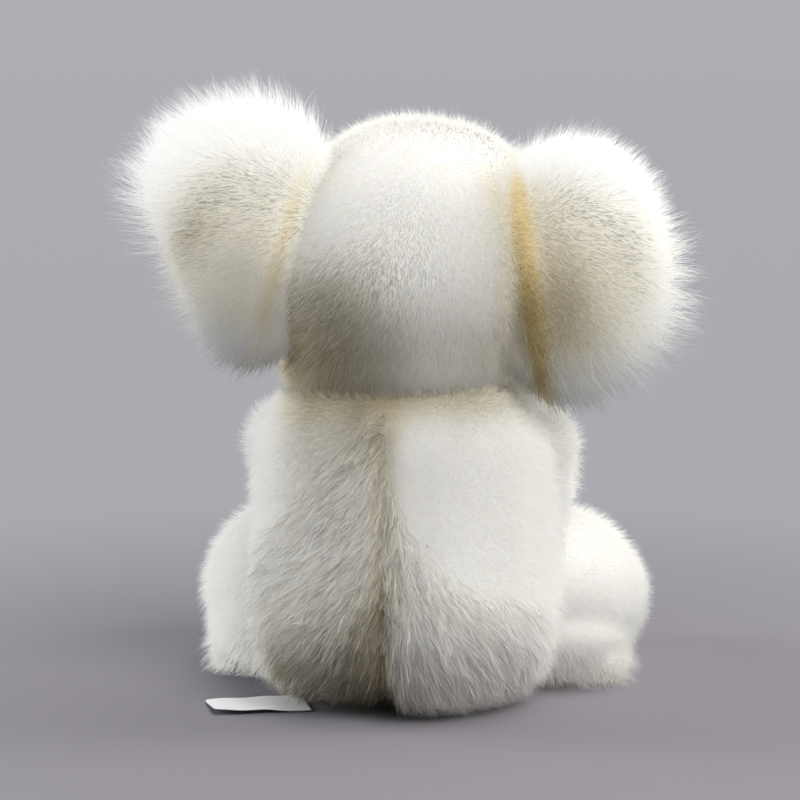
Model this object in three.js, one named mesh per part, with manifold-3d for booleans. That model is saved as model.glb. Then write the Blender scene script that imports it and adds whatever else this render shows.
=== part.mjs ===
// A seated plush koala as its sewn and stuffed pieces: pile covers, fibre fillings, ears, face parts and label.
// Millimetres, +Z up. The origin is on the floor under the middle of the seat.
// The koala faces -Y, and its left side is +X.
import * as THREE from "three";
import { mergeVertices } from "three/addons/utils/BufferGeometryUtils.js";
import Module from "manifold-3d";

const wasm = await Module();
wasm.setup();

const degree = Math.PI / 180;
const clearance = 0.3; // between pieces that lie against each other
const overrun = 10; // how far a cutting solid runs past what it cuts

// Torso: a pear that stands on a flat seat
const torsoHeight = 108.5; // floor to neck
const torsoHalfWidth = 52;
const torsoBack = 55;
const torsoFront = 51;
const neckForward = 4; // the neck stands this far in front of the seat's middle
const torsoWall = 6; // backing and pile together
// Height, width and depth at each level, as shares of the torso's own
const torsoLevelShares = [
  [-0.085, 0, 0],
  [-0.04, 0.55, 0.56],
  [0.02, 0.79, 0.81],
  [0.1, 0.93, 0.95],
  [0.25, 1, 1],
  [0.42, 1, 0.97],
  [0.57, 0.985, 0.91],
  [0.71, 0.965, 0.85],
  [0.82, 0.94, 0.81],
  [0.9, 0.91, 0.78],
  [0.96, 0.85, 0.73],
  [1.02, 0.6, 0.52],
  [1.05, 0, 0],
];

// Back seam, where the torso is stuffed and sewn shut
const seamThreadRadius = 0.7;
const seamDepth = 3; // how far the stitches pull the pile in
const seamBottom = 12; // above the floor
const seamTop = 14; // below the neck
const seamSteps = 12;

// Neck: a ball of firm filling that the head turns and nods on
const neckRadius = 24;
const creaseAngle = 4 * degree; // each side of the crease slopes away from the neck by this
const noddingGap = 0.5; // around the ball, where the head nods on it

// Head
const headHeight = 92; // neck to crown
const headHalfWidth = 49.5;
const headBack = 47;
const headFront = 46;
const headWall = 5;
const headRoll = 4.5 * degree; // it leans to its right, as it was photographed
const headLevelShares = [
  [-0.12, 0, 0],
  [-0.08, 0.5, 0.5],
  [0, 0.79, 0.79],
  [0.07, 0.91, 0.91],
  [0.15, 0.975, 0.965],
  [0.27, 1, 1],
  [0.42, 1, 1],
  [0.57, 0.965, 0.97],
  [0.72, 0.87, 0.88],
  [0.84, 0.72, 0.73],
  [0.93, 0.52, 0.53],
  [0.98, 0.29, 0.3],
  [1, 0, 0],
];
const muzzleHeight = 33; // above the neck
const muzzleHalfWidth = 24;
const muzzleHalfHeight = 18;
const muzzleReach = 13; // how far it stands out of the face
const muzzleHalfDepth = 26;

// Face parts, on posts with washers inside the head
const eyeRadius = 5.6;
const eyeDome = 4.2;
const eyeSpread = 20.5; // from the middle of the face
const eyeHeight = 55; // above the neck
const noseHalfWidth = 7.6;
const noseHalfHeight = 11;
const noseDome = 8;
const noseHeight = 41;
const seatInPile = 1.6; // how deep an eye or the nose presses into the pile
const postRadius = 2;
const postPastWasher = 2.5;
const washerRadius = 6;
const washerThickness = 1.6;
const mouthThreadRadius = 0.8;
const mouthHalfWidth = 9;
const mouthDrop = 6; // from the nose to where the mouth parts
// Along and across the mouth's curved stroke, as shares of its half width
const mouthCurveShares = [
  [-1, 0.1],
  [-0.6, -0.16],
  [0, 0],
  [0.6, -0.16],
  [1, 0.1],
];

// Ears: a back panel, a long-pile lining and a thin filling, sewn into the head along a straight seam
const earReach = 60;
const earHalfHeight = 49;
const earBackThickness = 9;
const earLiningThickness = 12;
const earBackWall = 3.5;
const earLiningWall = 5;
const earRootRadius = 10.5;
const earRootHalfLength = 36;
const earBearing = 26 * degree; // of the seam, from the head's side towards its back
const earSeamDepth = 3; // under the head's skin
const earSeamHeight = 43; // of the seam's middle above the neck
const earTilt = 12.5 * degree; // the seam's top leans in
const earFold = 15 * degree; // either way
// Across and along the ear, as shares of its reach and half height
const earOutlineShares = [
  [0.03, 0.85],
  [0.33, 0.99],
  [0.63, 0.98],
  [0.875, 0.785],
  [1, 0.38],
  [0.975, -0.11],
  [0.835, -0.49],
  [0.61, -0.735],
  [0.34, -0.855],
  [0.09, -0.835],
  [-0.185, -0.63],
  [-0.33, 0],
  [-0.2, 0.59],
];

// Arms, which hang from the shoulders and rest on the thighs
const shoulderRadius = 14;
const shoulderBearing = 9 * degree; // from the torso's side towards its front
const shoulderDepth = 5; // under the torso's skin
const shoulderHeight = 86;
const elbowForward = 12; // from the shoulder
const elbowDrop = 17;
const pawIn = 12;
const pawForward = 50;
const pawDrop = 26;
const armRootRadius = 12.5;
const elbowRadius = 12;
const pawRadius = 14;
const armWall = 4;
const armPressedWall = 1.5; // where the arm lies against the torso
const armOpeningRadius = 6; // where the arm is stuffed, facing the torso

// Legs, whose thighs are the round haunches at the torso's sides
const hipRadius = 30;
const legWall = 4.5;
const hipBearing = 34 * degree; // from the torso's side towards its front
const hipStandOff = 6.7; // outside the torso's skin
const floorPress = 0.5; // the rounds press this deep into the floor and are cut flat
const ankleOut = 6; // from the hip
const ankleForward = 34;
const toeOut = 9;
const toeForward = 56;
const legRootRadius = 23;
const ankleRadius = 18.5;
const toeRadius = 19.5;
const legOpeningRadius = 9;
const footPadHalfWidth = 11;
const footPadHalfHeight = 13;
const footPadThickness = 1.6;
const footPadSeat = 2.2; // how deep the pad sits in the pile

// Care label, blank, sewn into the edge of the seat at the back left
const labelLength = 34;
const labelWidth = 22;
const labelThickness = 0.7;
const labelRise = 2.2; // of its wave above the floor
const labelBearing = 41 * degree; // of its stitches, from the koala's left towards its back
const labelTurn = 28 * degree; // the way that it points
const labelLift = 25 * degree; // how far it swings up off the floor
const labelSteps = 12;

// Rings and sides of the curved skins: fine where they show and coarse inside
const torsoGrain = { fine: [13, 22], coarse: [9, 14] };
const headGrain = { fine: [12, 22], coarse: [9, 14] };
const muzzleGrain = { fine: [14, 10], coarse: [10, 6] };
const armGrain = { fine: [9, 12], coarse: [7, 9] };
const legGrain = { fine: [10, 14], coarse: [7, 10] };
const hipGrain = { fine: [24, 9], coarse: [12, 6] };
const shoulderGrain = { fine: [16, 7], coarse: [10, 5] };
const neckGrain = [24, 12];
const earGrain = [20, 7];
const turnedSides = 14;
const postSides = 8;

const neck = new THREE.Vector3(0, -neckForward, torsoHeight);
const farAway = torsoHeight + headHeight; // a half space's size
const left = new THREE.Vector3(1, 0, 0);
const backwards = new THREE.Vector3(0, 1, 0);
const upwards = new THREE.Vector3(0, 0, 1);

const pileLook = { color: 0xf1efe6, roughness: 0.95, metalness: 0 };
const materials = {
  pile: new THREE.MeshStandardMaterial(pileLook),
  longPile: new THREE.MeshStandardMaterial({ ...pileLook, color: 0xf7f6f2 }),
  filling: new THREE.MeshStandardMaterial({ color: 0xfafaf7, roughness: 1, metalness: 0 }),
  eye: new THREE.MeshStandardMaterial({ color: 0x0c0a09, roughness: 0.12, metalness: 0 }),
  nose: new THREE.MeshStandardMaterial({ color: 0x1d1a19, roughness: 0.5, metalness: 0 }),
  washer: new THREE.MeshStandardMaterial({ color: 0xe8e8e4, roughness: 0.5, metalness: 0 }),
  mouthThread: new THREE.MeshStandardMaterial({ color: 0x2b2624, roughness: 0.8, metalness: 0 }),
  seamThread: new THREE.MeshStandardMaterial({ color: 0xe6dfca, roughness: 0.9, metalness: 0 }),
  footPad: new THREE.MeshStandardMaterial({ color: 0xd9cbb8, roughness: 0.9, metalness: 0 }),
  label: new THREE.MeshStandardMaterial({ color: 0xf4f4f6, roughness: 0.6, metalness: 0 }),
};

// Solids and meshes

const moved = (x, y, z) => new THREE.Matrix4().makeTranslation(x, y, z);
const movedTo = (point) => moved(point.x, point.y, point.z);
const scaled = (x, y, z) => new THREE.Matrix4().makeScale(x, y, z);

// A closed geometry as a solid, moved by a matrix. A mirroring matrix also turns its faces round.
function solidOf(geometry, matrix = new THREE.Matrix4()) {
  const bare = geometry.index ? geometry.toNonIndexed() : geometry.clone();
  for (const name of Object.keys(bare.attributes)) if (name !== "position") bare.deleteAttribute(name);
  const merged = mergeVertices(bare.applyMatrix4(matrix), clearance / 1000);
  const corners = new Uint32Array(merged.index.array);
  if (matrix.determinant() < 0)
    for (let i = 0; i < corners.length; i += 3)
      [corners[i + 1], corners[i + 2]] = [corners[i + 2], corners[i + 1]];
  const vertProperties = merged.attributes.position.array;
  return new wasm.Manifold(new wasm.Mesh({ numProp: 3, vertProperties, triVerts: corners }));
}

function geometryOf(solid) {
  const mesh = solid.getMesh();
  const points = new Float32Array(mesh.numVert * 3);
  for (let i = 0; i < mesh.numVert; i++)
    points.set(mesh.vertProperties.subarray(i * mesh.numProp, i * mesh.numProp + 3), i * 3);
  return new THREE.BufferGeometry()
    .setAttribute("position", new THREE.BufferAttribute(points, 3))
    .setIndex(new THREE.BufferAttribute(new Uint32Array(mesh.triVerts), 1));
}

function meshOf(name, solid, material) {
  const mesh = new THREE.Mesh(geometryOf(solid).toNonIndexed(), material);
  mesh.geometry.computeVertexNormals();
  mesh.name = name;
  return mesh;
}

const placed = (solid, matrix) => solidOf(geometryOf(solid), matrix);
const mirrored = (solid) => placed(solid, scaled(-1, 1, 1));
const joined = (solids) => solids.reduce((whole, solid) => whole.add(solid));
const cut = (solid, tools) => tools.reduce((rest, tool) => rest.subtract(tool), solid);

// Forms

// A closed skin from the first pole through rings with equal point counts to the last pole.
function skinThrough(firstPole, rings, lastPole) {
  const count = rings[0].length;
  const points = [firstPole, ...rings.flat(), lastPole];
  const last = points.length - 1;
  const corners = [];
  for (let i = 0; i < count; i++) {
    const next = (i + 1) % count;
    corners.push(0, 1 + next, 1 + i);
    corners.push(last, last - count + i, last - count + next);
    for (let ring = 0; ring < rings.length - 1; ring++) {
      const a = 1 + ring * count;
      const b = a + count;
      corners.push(a + i, a + next, b + next, a + i, b + next, b + i);
    }
  }
  return new THREE.BufferGeometry().setFromPoints(points).setIndex(corners);
}

// The same form with its skin moved in along its normals.
function insetForm(geometry, distance) {
  const inner = geometry.clone();
  inner.computeVertexNormals();
  const { position, normal } = inner.attributes;
  const point = new THREE.Vector3();
  const out = new THREE.Vector3();
  for (let i = 0; i < position.count; i++) {
    point.fromBufferAttribute(position, i).addScaledVector(out.fromBufferAttribute(normal, i), -distance);
    position.setXYZ(i, ...point);
  }
  return inner;
}

// A form through level rings, from shares of a size. Its rings move forward as they rise.
function levelForm(levelShares, size, [ringCount, sideCount]) {
  const profile = new THREE.CatmullRomCurve3(levelShares.map((level) => new THREE.Vector3(...level)));
  const rings = profile.getSpacedPoints(ringCount).map(({ x: height, y: width, z: depth }) => {
    const ring = [];
    for (let i = 0; i < sideCount; i++) {
      const angle = (2 * Math.PI * i) / sideCount;
      const halfDepth = depth * (Math.sin(angle) > 0 ? size.back : size.front);
      const y = halfDepth * Math.sin(angle) - height * size.forward;
      ring.push(new THREE.Vector3(width * size.halfWidth * Math.cos(angle), y, height * size.height));
    }
    return ring;
  });
  const [firstPole] = rings.shift();
  const [lastPole] = rings.pop();
  return skinThrough(firstPole, rings, lastPole);
}

// A limb along a curve, with a radius at each of its places and round ends.
function limbForm(places, radii, [ringCount, sideCount]) {
  const path = new THREE.CatmullRomCurve3(places);
  const sizes = new THREE.CatmullRomCurve3(radii.map((radius, i) => new THREE.Vector3(i, radius, 0)));
  const length = path.getLength();
  const startRadius = radii[0];
  const endRadius = radii[radii.length - 1];
  const whole = startRadius + length + endRadius;
  const rings = [];
  for (let ring = 1; ring < ringCount; ring++) {
    const along = (whole * (1 - Math.cos((Math.PI * ring) / ringCount))) / 2 - startRadius;
    const share = THREE.MathUtils.clamp(along / length, 0, 1);
    const intoEnd = along < 0 ? along / startRadius : Math.max(0, along - length) / endRadius;
    const forward = path.getTangentAt(share);
    const centre = path.getPointAt(share).addScaledVector(forward, along - share * length);
    const radius = sizes.getPoint(share).y * Math.sqrt(1 - intoEnd * intoEnd);
    const across = new THREE.Vector3().crossVectors(forward, upwards).normalize();
    const down = new THREE.Vector3().crossVectors(forward, across);
    const points = [];
    for (let i = 0; i < sideCount; i++) {
      const angle = (2 * Math.PI * i) / sideCount;
      const out = across.clone().multiplyScalar(Math.cos(angle)).addScaledVector(down, Math.sin(angle));
      points.push(centre.clone().addScaledVector(out, radius));
    }
    rings.push(points);
  }
  const startPole = path.getPointAt(0).addScaledVector(path.getTangentAt(0), -startRadius);
  const endPole = path.getPointAt(1).addScaledVector(path.getTangentAt(1), endRadius);
  return skinThrough(startPole, rings, endPole);
}

// A pillow over an outline in the XZ plane: thick in the middle and drawn in at its rim.
function pillowForm(outline, backThickness, frontThickness, ringCount) {
  const middle = outline.reduce((sum, p) => sum.add(p), new THREE.Vector3()).divideScalar(outline.length);
  const rings = [];
  for (let ring = 1; ring < ringCount; ring++) {
    const angle = (Math.PI * ring) / ringCount;
    const thickness = Math.cos(angle) > 0 ? backThickness : frontThickness;
    const spread = Math.pow(Math.sin(angle), 3 / 4);
    const lift = backwards.clone().multiplyScalar(thickness * Math.cos(angle));
    rings.push(outline.map((p) => middle.clone().lerp(p, spread).add(lift)));
  }
  const backPole = middle.clone().addScaledVector(backwards, backThickness);
  const frontPole = middle.clone().addScaledVector(backwards, -frontThickness);
  return skinThrough(backPole, rings, frontPole);
}

// A ball whose poles lie on the axis that it turns about.
function ball(radius, centre, axis, [sides, rings]) {
  const poles = new THREE.Matrix4().makeRotationFromQuaternion(
    new THREE.Quaternion().setFromUnitVectors(backwards, axis),
  );
  return solidOf(new THREE.SphereGeometry(radius, sides, rings), movedTo(centre).multiply(poles));
}

// A round tube along a curve.
function tube(curve, radius, steps) {
  const section = new THREE.Shape().absarc(0, 0, radius, 0, 2 * Math.PI);
  const options = { steps, extrudePath: curve, curveSegments: 3, bevelEnabled: false };
  return solidOf(new THREE.ExtrudeGeometry(section, options));
}

// A solid of revolution about Z, from points of radius and height.
function turned(profile, matrix = new THREE.Matrix4(), sides = turnedSides) {
  const points = profile.map(([radius, height]) => new THREE.Vector2(radius, height));
  const upright = new THREE.Matrix4().makeRotationX(Math.PI / 2);
  return solidOf(new THREE.LatheGeometry(points, sides), matrix.clone().multiply(upright));
}

// A disc or post about Z, from one height to another.
function disc(radius, from, to, matrix, sides) {
  const profile = [
    [0, from],
    [radius, from],
    [radius, to],
    [0, to],
  ];
  return turned(profile, matrix, sides);
}

// All space past a point, in a direction.
function halfSpace(point, direction) {
  const turn = new THREE.Quaternion().setFromUnitVectors(upwards, direction);
  const place = new THREE.Matrix4().compose(point, turn, new THREE.Vector3(1, 1, 1));
  const size = 2 * farAway;
  return solidOf(new THREE.BoxGeometry(size, size, size), place.multiply(moved(0, 0, size / 2)));
}

const belowLevel = (height) => halfSpace(new THREE.Vector3(0, 0, height), upwards.clone().negate());

// Where a line from inside a form leaves its skin, and the way that the skin faces there.
function skinAt(geometry, from, direction) {
  const form = new THREE.Mesh(geometry, new THREE.MeshBasicMaterial({ side: THREE.DoubleSide }));
  const hits = new THREE.Raycaster(from, direction.clone().normalize()).intersectObject(form);
  const { point, face } = hits[hits.length - 1];
  const out = face.normal.clone();
  return { point, out: out.dot(direction) < 0 ? out.negate() : out };
}

// The level direction that is turned from the koala's left towards its back.
const bearing = (angle) => left.clone().applyAxisAngle(upwards, angle);

// Torso

const torsoSize = {
  height: torsoHeight,
  halfWidth: torsoHalfWidth,
  back: torsoBack,
  front: torsoFront,
  forward: neckForward,
};
const torsoForm = levelForm(torsoLevelShares, torsoSize, torsoGrain.fine);
const torsoLiner = levelForm(torsoLevelShares, torsoSize, torsoGrain.coarse);

// A point at a height, a bearing and a distance outside the torso's skin.
function byTorso(height, angle, standOff) {
  const middle = new THREE.Vector3(0, (-neckForward * height) / torsoHeight, height);
  return skinAt(torsoForm, middle, bearing(angle)).point.addScaledVector(bearing(angle), standOff);
}

const shoulder = byTorso(shoulderHeight, -shoulderBearing, -shoulderDepth);
const hip = byTorso(hipRadius - floorPress, -hipBearing, hipStandOff);

// Both limbs' balls, grown by a distance. Past the gap that they run in, a coarse ball is enough.
function limbBalls(grown) {
  const grain = grown > clearance ? "coarse" : "fine";
  const oneSide = [
    ball(hipRadius + grown, hip, upwards, hipGrain[grain]),
    ball(shoulderRadius + grown, shoulder, left, shoulderGrain[grain]),
  ];
  return [...oneSide, ...oneSide.map(mirrored)];
}

const neckBall = (grown) => ball(neckRadius + grown, neck, upwards, neckGrain);

// The space past one side of the neck's crease: above the torso's (1), or below the head's (-1).
function pastCrease(side, inset) {
  const drop = farAway * Math.tan(creaseAngle);
  const edge = [
    [0, -side * inset],
    [farAway, -side * (drop + inset)],
    [farAway, side * farAway],
    [0, side * farAway],
  ];
  return turned(side > 0 ? edge : edge.reverse(), movedTo(neck), neckGrain[0]);
}

// The torso at a depth under its skin, with the hollows that the limbs sit in.
function torsoSpace(depth) {
  const body = solidOf(insetForm(depth > 0 ? torsoLiner : torsoForm, depth));
  return cut(body, [belowLevel(depth), pastCrease(1, depth), ...limbBalls(clearance + depth)]);
}

// The stitched line down the middle of the back, drawn into the pile.
function backSeamCurve() {
  const beside = seamThreadRadius / seamSteps; // off the skin's own middle edge
  const points = [];
  for (let i = 0; i <= seamSteps; i++) {
    const z = seamBottom + ((torsoHeight - seamTop - seamBottom) * i) / seamSteps;
    const skin = skinAt(torsoForm, new THREE.Vector3(beside, 0, z), backwards);
    points.push(new THREE.Vector3(0, skin.point.y - seamDepth, z));
  }
  return new THREE.CatmullRomCurve3(points);
}

// The parting that the stitches draw into the pile: a groove along them, widest at the pile's tips.
function backSeamParting(curve) {
  const deep = seamThreadRadius + clearance;
  const high = seamDepth + deep;
  const section = [
    [-deep, -deep],
    [-high, high],
    [high, high],
    [deep, -deep],
  ];
  const rings = curve.points.map((point, i) => {
    const along = curve.getTangent(i / seamSteps);
    const out = new THREE.Vector3().crossVectors(along, left).negate();
    return section.map(([x, y]) => point.clone().addScaledVector(left, x).addScaledVector(out, y));
  });
  return solidOf(skinThrough(curve.points[0], rings, curve.points[seamSteps]));
}

const seamCurve = backSeamCurve();
const torsoCover = cut(torsoSpace(0), [torsoSpace(torsoWall), neckBall(clearance), backSeamParting(seamCurve)]);
const torsoFilling = torsoSpace(torsoWall + clearance).subtract(neckBall(clearance));
const backSeamThread = tube(seamCurve, seamThreadRadius, seamSteps);

// Head, in its own frame: the origin is the neck's middle, and the koala's lean is still to come

const headFrame = movedTo(neck).multiply(new THREE.Matrix4().makeRotationY(-headRoll));
const headSize = { height: headHeight, halfWidth: headHalfWidth, back: headBack, front: headFront, forward: 0 };
const headForm = levelForm(headLevelShares, headSize, headGrain.fine);
const headLiner = levelForm(headLevelShares, headSize, headGrain.coarse);

function muzzleSpace(depth) {
  const size = scaled(muzzleHalfWidth - depth, muzzleHalfDepth - depth, muzzleHalfHeight - depth);
  const place = moved(0, muzzleHalfDepth - muzzleReach - headFront, muzzleHeight);
  const grain = depth > 0 ? muzzleGrain.coarse : muzzleGrain.fine;
  return solidOf(new THREE.SphereGeometry(1, ...grain), place.multiply(size));
}

const earSkin = skinAt(headForm, new THREE.Vector3(0, 0, earSeamHeight), bearing(earBearing));
const earSeam = earSkin.point.clone().addScaledVector(bearing(earBearing), -earSeamDepth);
const earFrame = movedTo(earSeam).multiply(new THREE.Matrix4().makeRotationY(-earTilt));
const earAxis = upwards.clone().transformDirection(earFrame);

// The root that the ear folds about, which tapers towards both ends of its seam.
function earRoot(grown) {
  const steps = 6;
  const arc = new THREE.EllipseCurve(0, 0, 1, 1, -Math.PI / 2, Math.PI / 2).getPoints(steps);
  const profile = arc.map(({ x, y }, i) => [i % steps ? x : 0, y]);
  const size = scaled(earRootRadius + grown, earRootRadius + grown, earRootHalfLength + grown);
  return turned(profile, earFrame.clone().multiply(size));
}

// The head at a depth under its skin, with the grooves that the ears sit in.
function headSpace(depth) {
  const body = solidOf(insetForm(depth > 0 ? headLiner : headForm, depth)).add(muzzleSpace(depth));
  const groove = earRoot(clearance + depth);
  return cut(body, [placed(pastCrease(-1, depth), headFrame.clone().invert()), groove, mirrored(groove)]);
}

const faceForm = geometryOf(headSpace(0));

// Where the face's skin is, level with a height and beside its middle by a distance.
function faceSkin(beside, height) {
  return skinAt(faceForm, new THREE.Vector3(beside, -headFront / 2, height), backwards.clone().negate());
}

// A frame on the face whose Z points out of the skin, pressed into the pile.
function faceFrame(beside, height) {
  const { point, out } = faceSkin(beside, height);
  const across = new THREE.Vector3().crossVectors(upwards, out).normalize();
  const up = new THREE.Vector3().crossVectors(out, across);
  return new THREE.Matrix4().makeBasis(across, up, out).setPosition(point.addScaledVector(out, -seatInPile));
}

// Heights along a face part's post, from the seat that it presses into the pile
const washerFront = seatInPile - headWall - clearance;
const washerBack = washerFront - washerThickness;
const postEnd = washerBack - postPastWasher;

// A domed front on a post, as one moulded piece.
function domeOnPost(halfWidth, halfHeight, dome, frame) {
  const arc = new THREE.EllipseCurve(0, 0, 1, 1, 0, Math.PI / 2).getPoints(4).map(({ x, y }) => [x, y]);
  arc[arc.length - 1][0] = 0;
  const front = turned([[0, 0], ...arc], frame.clone().multiply(scaled(halfWidth, halfHeight, dome)));
  return front.add(disc(postRadius, postEnd, dome / 2, frame, postSides));
}

function washer(frame) {
  const hole = disc(postRadius + clearance, postEnd, seatInPile, frame, postSides);
  return disc(washerRadius, washerBack, washerFront, frame).subtract(hole);
}

// What the head is cut by for one face part: its seat, its post's hole and its washer's room.
function faceCuts(halfWidth, halfHeight, frame) {
  const oval = frame.clone().multiply(scaled(1, halfHeight / halfWidth, 1));
  return [
    disc(halfWidth + clearance, -clearance, overrun, oval),
    disc(postRadius + clearance, postEnd - clearance, overrun, frame, postSides),
    disc(washerRadius + clearance, postEnd - clearance, washerFront + clearance, frame),
  ];
}

const eyeFrames = { left: faceFrame(eyeSpread, eyeHeight), right: faceFrame(-eyeSpread, eyeHeight) };
const noseFrame = faceFrame(0, noseHeight);

// The mouth's stitches lie in the pile: one stroke down from the nose, and one curved across.
function mouthStrokes(radius) {
  const noseBottom = noseHeight - noseHalfHeight;
  const parting = noseBottom - mouthDrop;
  const inSkin = (beside, height) => {
    const { point, out } = faceSkin(beside, height);
    return point.addScaledVector(out, -mouthThreadRadius);
  };
  const down = [noseBottom, (noseBottom + parting) / 2, parting].map((height) => inSkin(0, height));
  const across = mouthCurveShares.map(([beside, rise]) =>
    inSkin(beside * mouthHalfWidth, parting + rise * mouthHalfWidth),
  );
  return joined([down, across].map((points) => tube(new THREE.CatmullRomCurve3(points), radius, 6)));
}

const noseRoom = disc(
  noseHalfWidth + 2 * clearance,
  -overrun,
  overrun,
  noseFrame.clone().multiply(scaled(1, noseHalfHeight / noseHalfWidth, 1)),
);
const allFaceCuts = [
  ...faceCuts(eyeRadius, eyeRadius, eyeFrames.left),
  ...faceCuts(eyeRadius, eyeRadius, eyeFrames.right),
  ...faceCuts(noseHalfWidth, noseHalfHeight, noseFrame),
];
const neckHollow = placed(neckBall(noddingGap), headFrame.clone().invert());
const headCover = cut(headSpace(0), [
  headSpace(headWall),
  neckHollow,
  ...allFaceCuts,
  mouthStrokes(mouthThreadRadius + clearance),
]);
const headFilling = cut(headSpace(headWall + clearance), [neckHollow, ...allFaceCuts]);
const mouthThread = mouthStrokes(mouthThreadRadius).subtract(noseRoom);

// Ears, in the head's frame

// The ear's outline drawn in by a distance.
function earOutline(inset) {
  const corners = earOutlineShares.map(
    ([out, up]) => new THREE.Vector3(out * earReach, 0, up * earHalfHeight),
  );
  const points = new THREE.CatmullRomCurve3(corners, true).getSpacedPoints(earGrain[0]).slice(0, -1);
  return points.reverse().map((point) => point.multiplyScalar(1 - inset / earHalfHeight));
}

// What the head would meet as the ear folds each way: all that lies behind its skin at the seam.
function headRoom(grown) {
  const reach = earSkin.point.clone().sub(earSeam).dot(earSkin.out) + clearance + grown;
  return [-earFold, earFold].map((fold) => {
    const out = earSkin.out.clone().applyAxisAngle(earAxis, fold);
    return halfSpace(earSeam.clone().addScaledVector(out, reach), out.negate());
  });
}

// The stuffed part of the ear, drawn in at its rim, its back and its lining.
function earPillow(rim, back, lining) {
  const outline = earOutline(rim);
  return solidOf(pillowForm(outline, earBackThickness - back, earLiningThickness - lining, earGrain[1]), earFrame);
}

// One side of the plane that the ear's two panels meet in.
function earSide(way) {
  const towards = backwards.clone().multiplyScalar(way);
  return halfSpace(earSeam.clone().addScaledVector(towards, clearance / 2), towards);
}

const earInside = cut(earPillow(earLiningWall, earBackWall, earLiningWall), headRoom(earLiningWall));
const earPanels = cut(earPillow(0, 0, 0), headRoom(0)).subtract(earInside).add(earRoot(0));
const earBack = earPanels.intersect(earSide(1));
const earLining = earPanels.intersect(earSide(-1));
const earFilling = cut(
  earPillow(earLiningWall + clearance, earBackWall + clearance, earLiningWall + clearance),
  [...headRoom(earLiningWall + clearance), earRoot(clearance)],
);

// Limbs, on the koala's left

// The round hole in a limb's cover through which it is stuffed, facing into the torso.
function limbOpening(centre, radius, reach) {
  const inwards = new THREE.Vector3(-centre.x, -neckForward - centre.y, 0).normalize();
  const turn = new THREE.Quaternion().setFromUnitVectors(upwards, inwards);
  return disc(radius, 0, reach, new THREE.Matrix4().compose(centre, turn, new THREE.Vector3(1, 1, 1)));
}

const elbow = shoulder.clone().add(new THREE.Vector3(0, -elbowForward, -elbowDrop));
const paw = shoulder.clone().add(new THREE.Vector3(-pawIn, -pawForward, -pawDrop));

function armSpace(depth) {
  const grain = depth > 0 ? "coarse" : "fine";
  const pressed = depth > 0 ? depth - armWall + armPressedWall : 0;
  const radii = [armRootRadius, elbowRadius, pawRadius].map((radius) => radius - depth);
  const limb = cut(solidOf(limbForm([shoulder, elbow, paw], radii, armGrain[grain])), [
    solidOf(insetForm(torsoForm, -clearance - pressed)),
    ball(hipRadius + clearance + depth, hip, upwards, hipGrain[grain]),
  ]);
  return limb.add(ball(shoulderRadius - depth, shoulder, left, shoulderGrain[grain]));
}

const armCover = cut(armSpace(0), [
  armSpace(armWall),
  limbOpening(shoulder, armOpeningRadius, shoulderRadius + overrun),
]);
const armFilling = armSpace(armWall + clearance);

const ankle = new THREE.Vector3(hip.x + ankleOut, hip.y - ankleForward, ankleRadius - floorPress);
const toe = new THREE.Vector3(hip.x + toeOut, hip.y - toeForward, toeRadius - floorPress);

function legForm(depth) {
  const radii = [legRootRadius, ankleRadius, toeRadius].map((radius) => radius - depth);
  return limbForm([hip, ankle, toe], radii, depth > 0 ? legGrain.coarse : legGrain.fine);
}

function legSpace(depth) {
  const haunch = ball(hipRadius - depth, hip, upwards, depth > 0 ? hipGrain.coarse : hipGrain.fine);
  return solidOf(legForm(depth)).add(haunch).subtract(belowLevel(depth));
}

// The pad on the sole, or with a growth the room that the pile leaves for it.
function footPad(grown) {
  const along = toe.clone().sub(ankle).setZ(0).normalize();
  const across = new THREE.Vector3().crossVectors(upwards, along);
  const seat = skinAt(legForm(0), toe, along).point.addScaledVector(along, -footPadSeat);
  const frame = new THREE.Matrix4().makeBasis(across, upwards, along).setPosition(seat);
  const oval = frame.multiply(scaled(1, footPadHalfHeight / footPadHalfWidth, 1));
  return disc(footPadHalfWidth + grown, -grown, grown > 0 ? overrun : footPadThickness, oval);
}

const legCover = cut(legSpace(0), [
  legSpace(legWall),
  limbOpening(hip, legOpeningRadius, hipRadius + overrun),
  footPad(clearance),
]);
const legFilling = legSpace(legWall + clearance);

// Care label: one folded strip that lies on the floor in a shallow wave

const labelRoot = byTorso(clearance + labelThickness, labelBearing, clearance).setZ(clearance);
const labelFrame = movedTo(labelRoot).multiply(new THREE.Matrix4().makeRotationZ(labelTurn));

function labelStrip() {
  const under = [];
  const over = [];
  for (let i = 0; i <= labelSteps; i++) {
    const share = i / labelSteps;
    const wave = labelRise * share * Math.pow(Math.sin(1.5 * Math.PI * share), 2);
    under.push(new THREE.Vector2(share * labelLength, wave));
    over.unshift(new THREE.Vector2(share * labelLength, wave + labelThickness));
  }
  const options = { depth: labelWidth, steps: 1, bevelEnabled: false };
  const strip = new THREE.ExtrudeGeometry(new THREE.Shape([...under, ...over]), options);
  const upright = new THREE.Matrix4().makeRotationX(Math.PI / 2).setPosition(0, labelWidth / 2, 0);
  return solidOf(strip, labelFrame.clone().multiply(upright));
}

// The torso as the label meets it when it has swung up by an angle.
function torsoFromLabel(angle) {
  const turn = labelFrame.clone().multiply(new THREE.Matrix4().makeRotationY(angle));
  return solidOf(insetForm(torsoForm, -clearance), turn.multiply(labelFrame.clone().invert()));
}

const careLabel = cut(labelStrip(), [0, labelLift / 2, labelLift].map(torsoFromLabel));

// Assembly

const koala = new THREE.Group();
koala.add(
  meshOf("torso_cover", torsoCover, materials.pile),
  meshOf("torso_filling", torsoFilling, materials.filling),
  meshOf("back_seam_thread", backSeamThread, materials.seamThread),
  meshOf("neck_filling", neckBall(0), materials.filling),
  meshOf("care_label", careLabel, materials.label),
);

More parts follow.
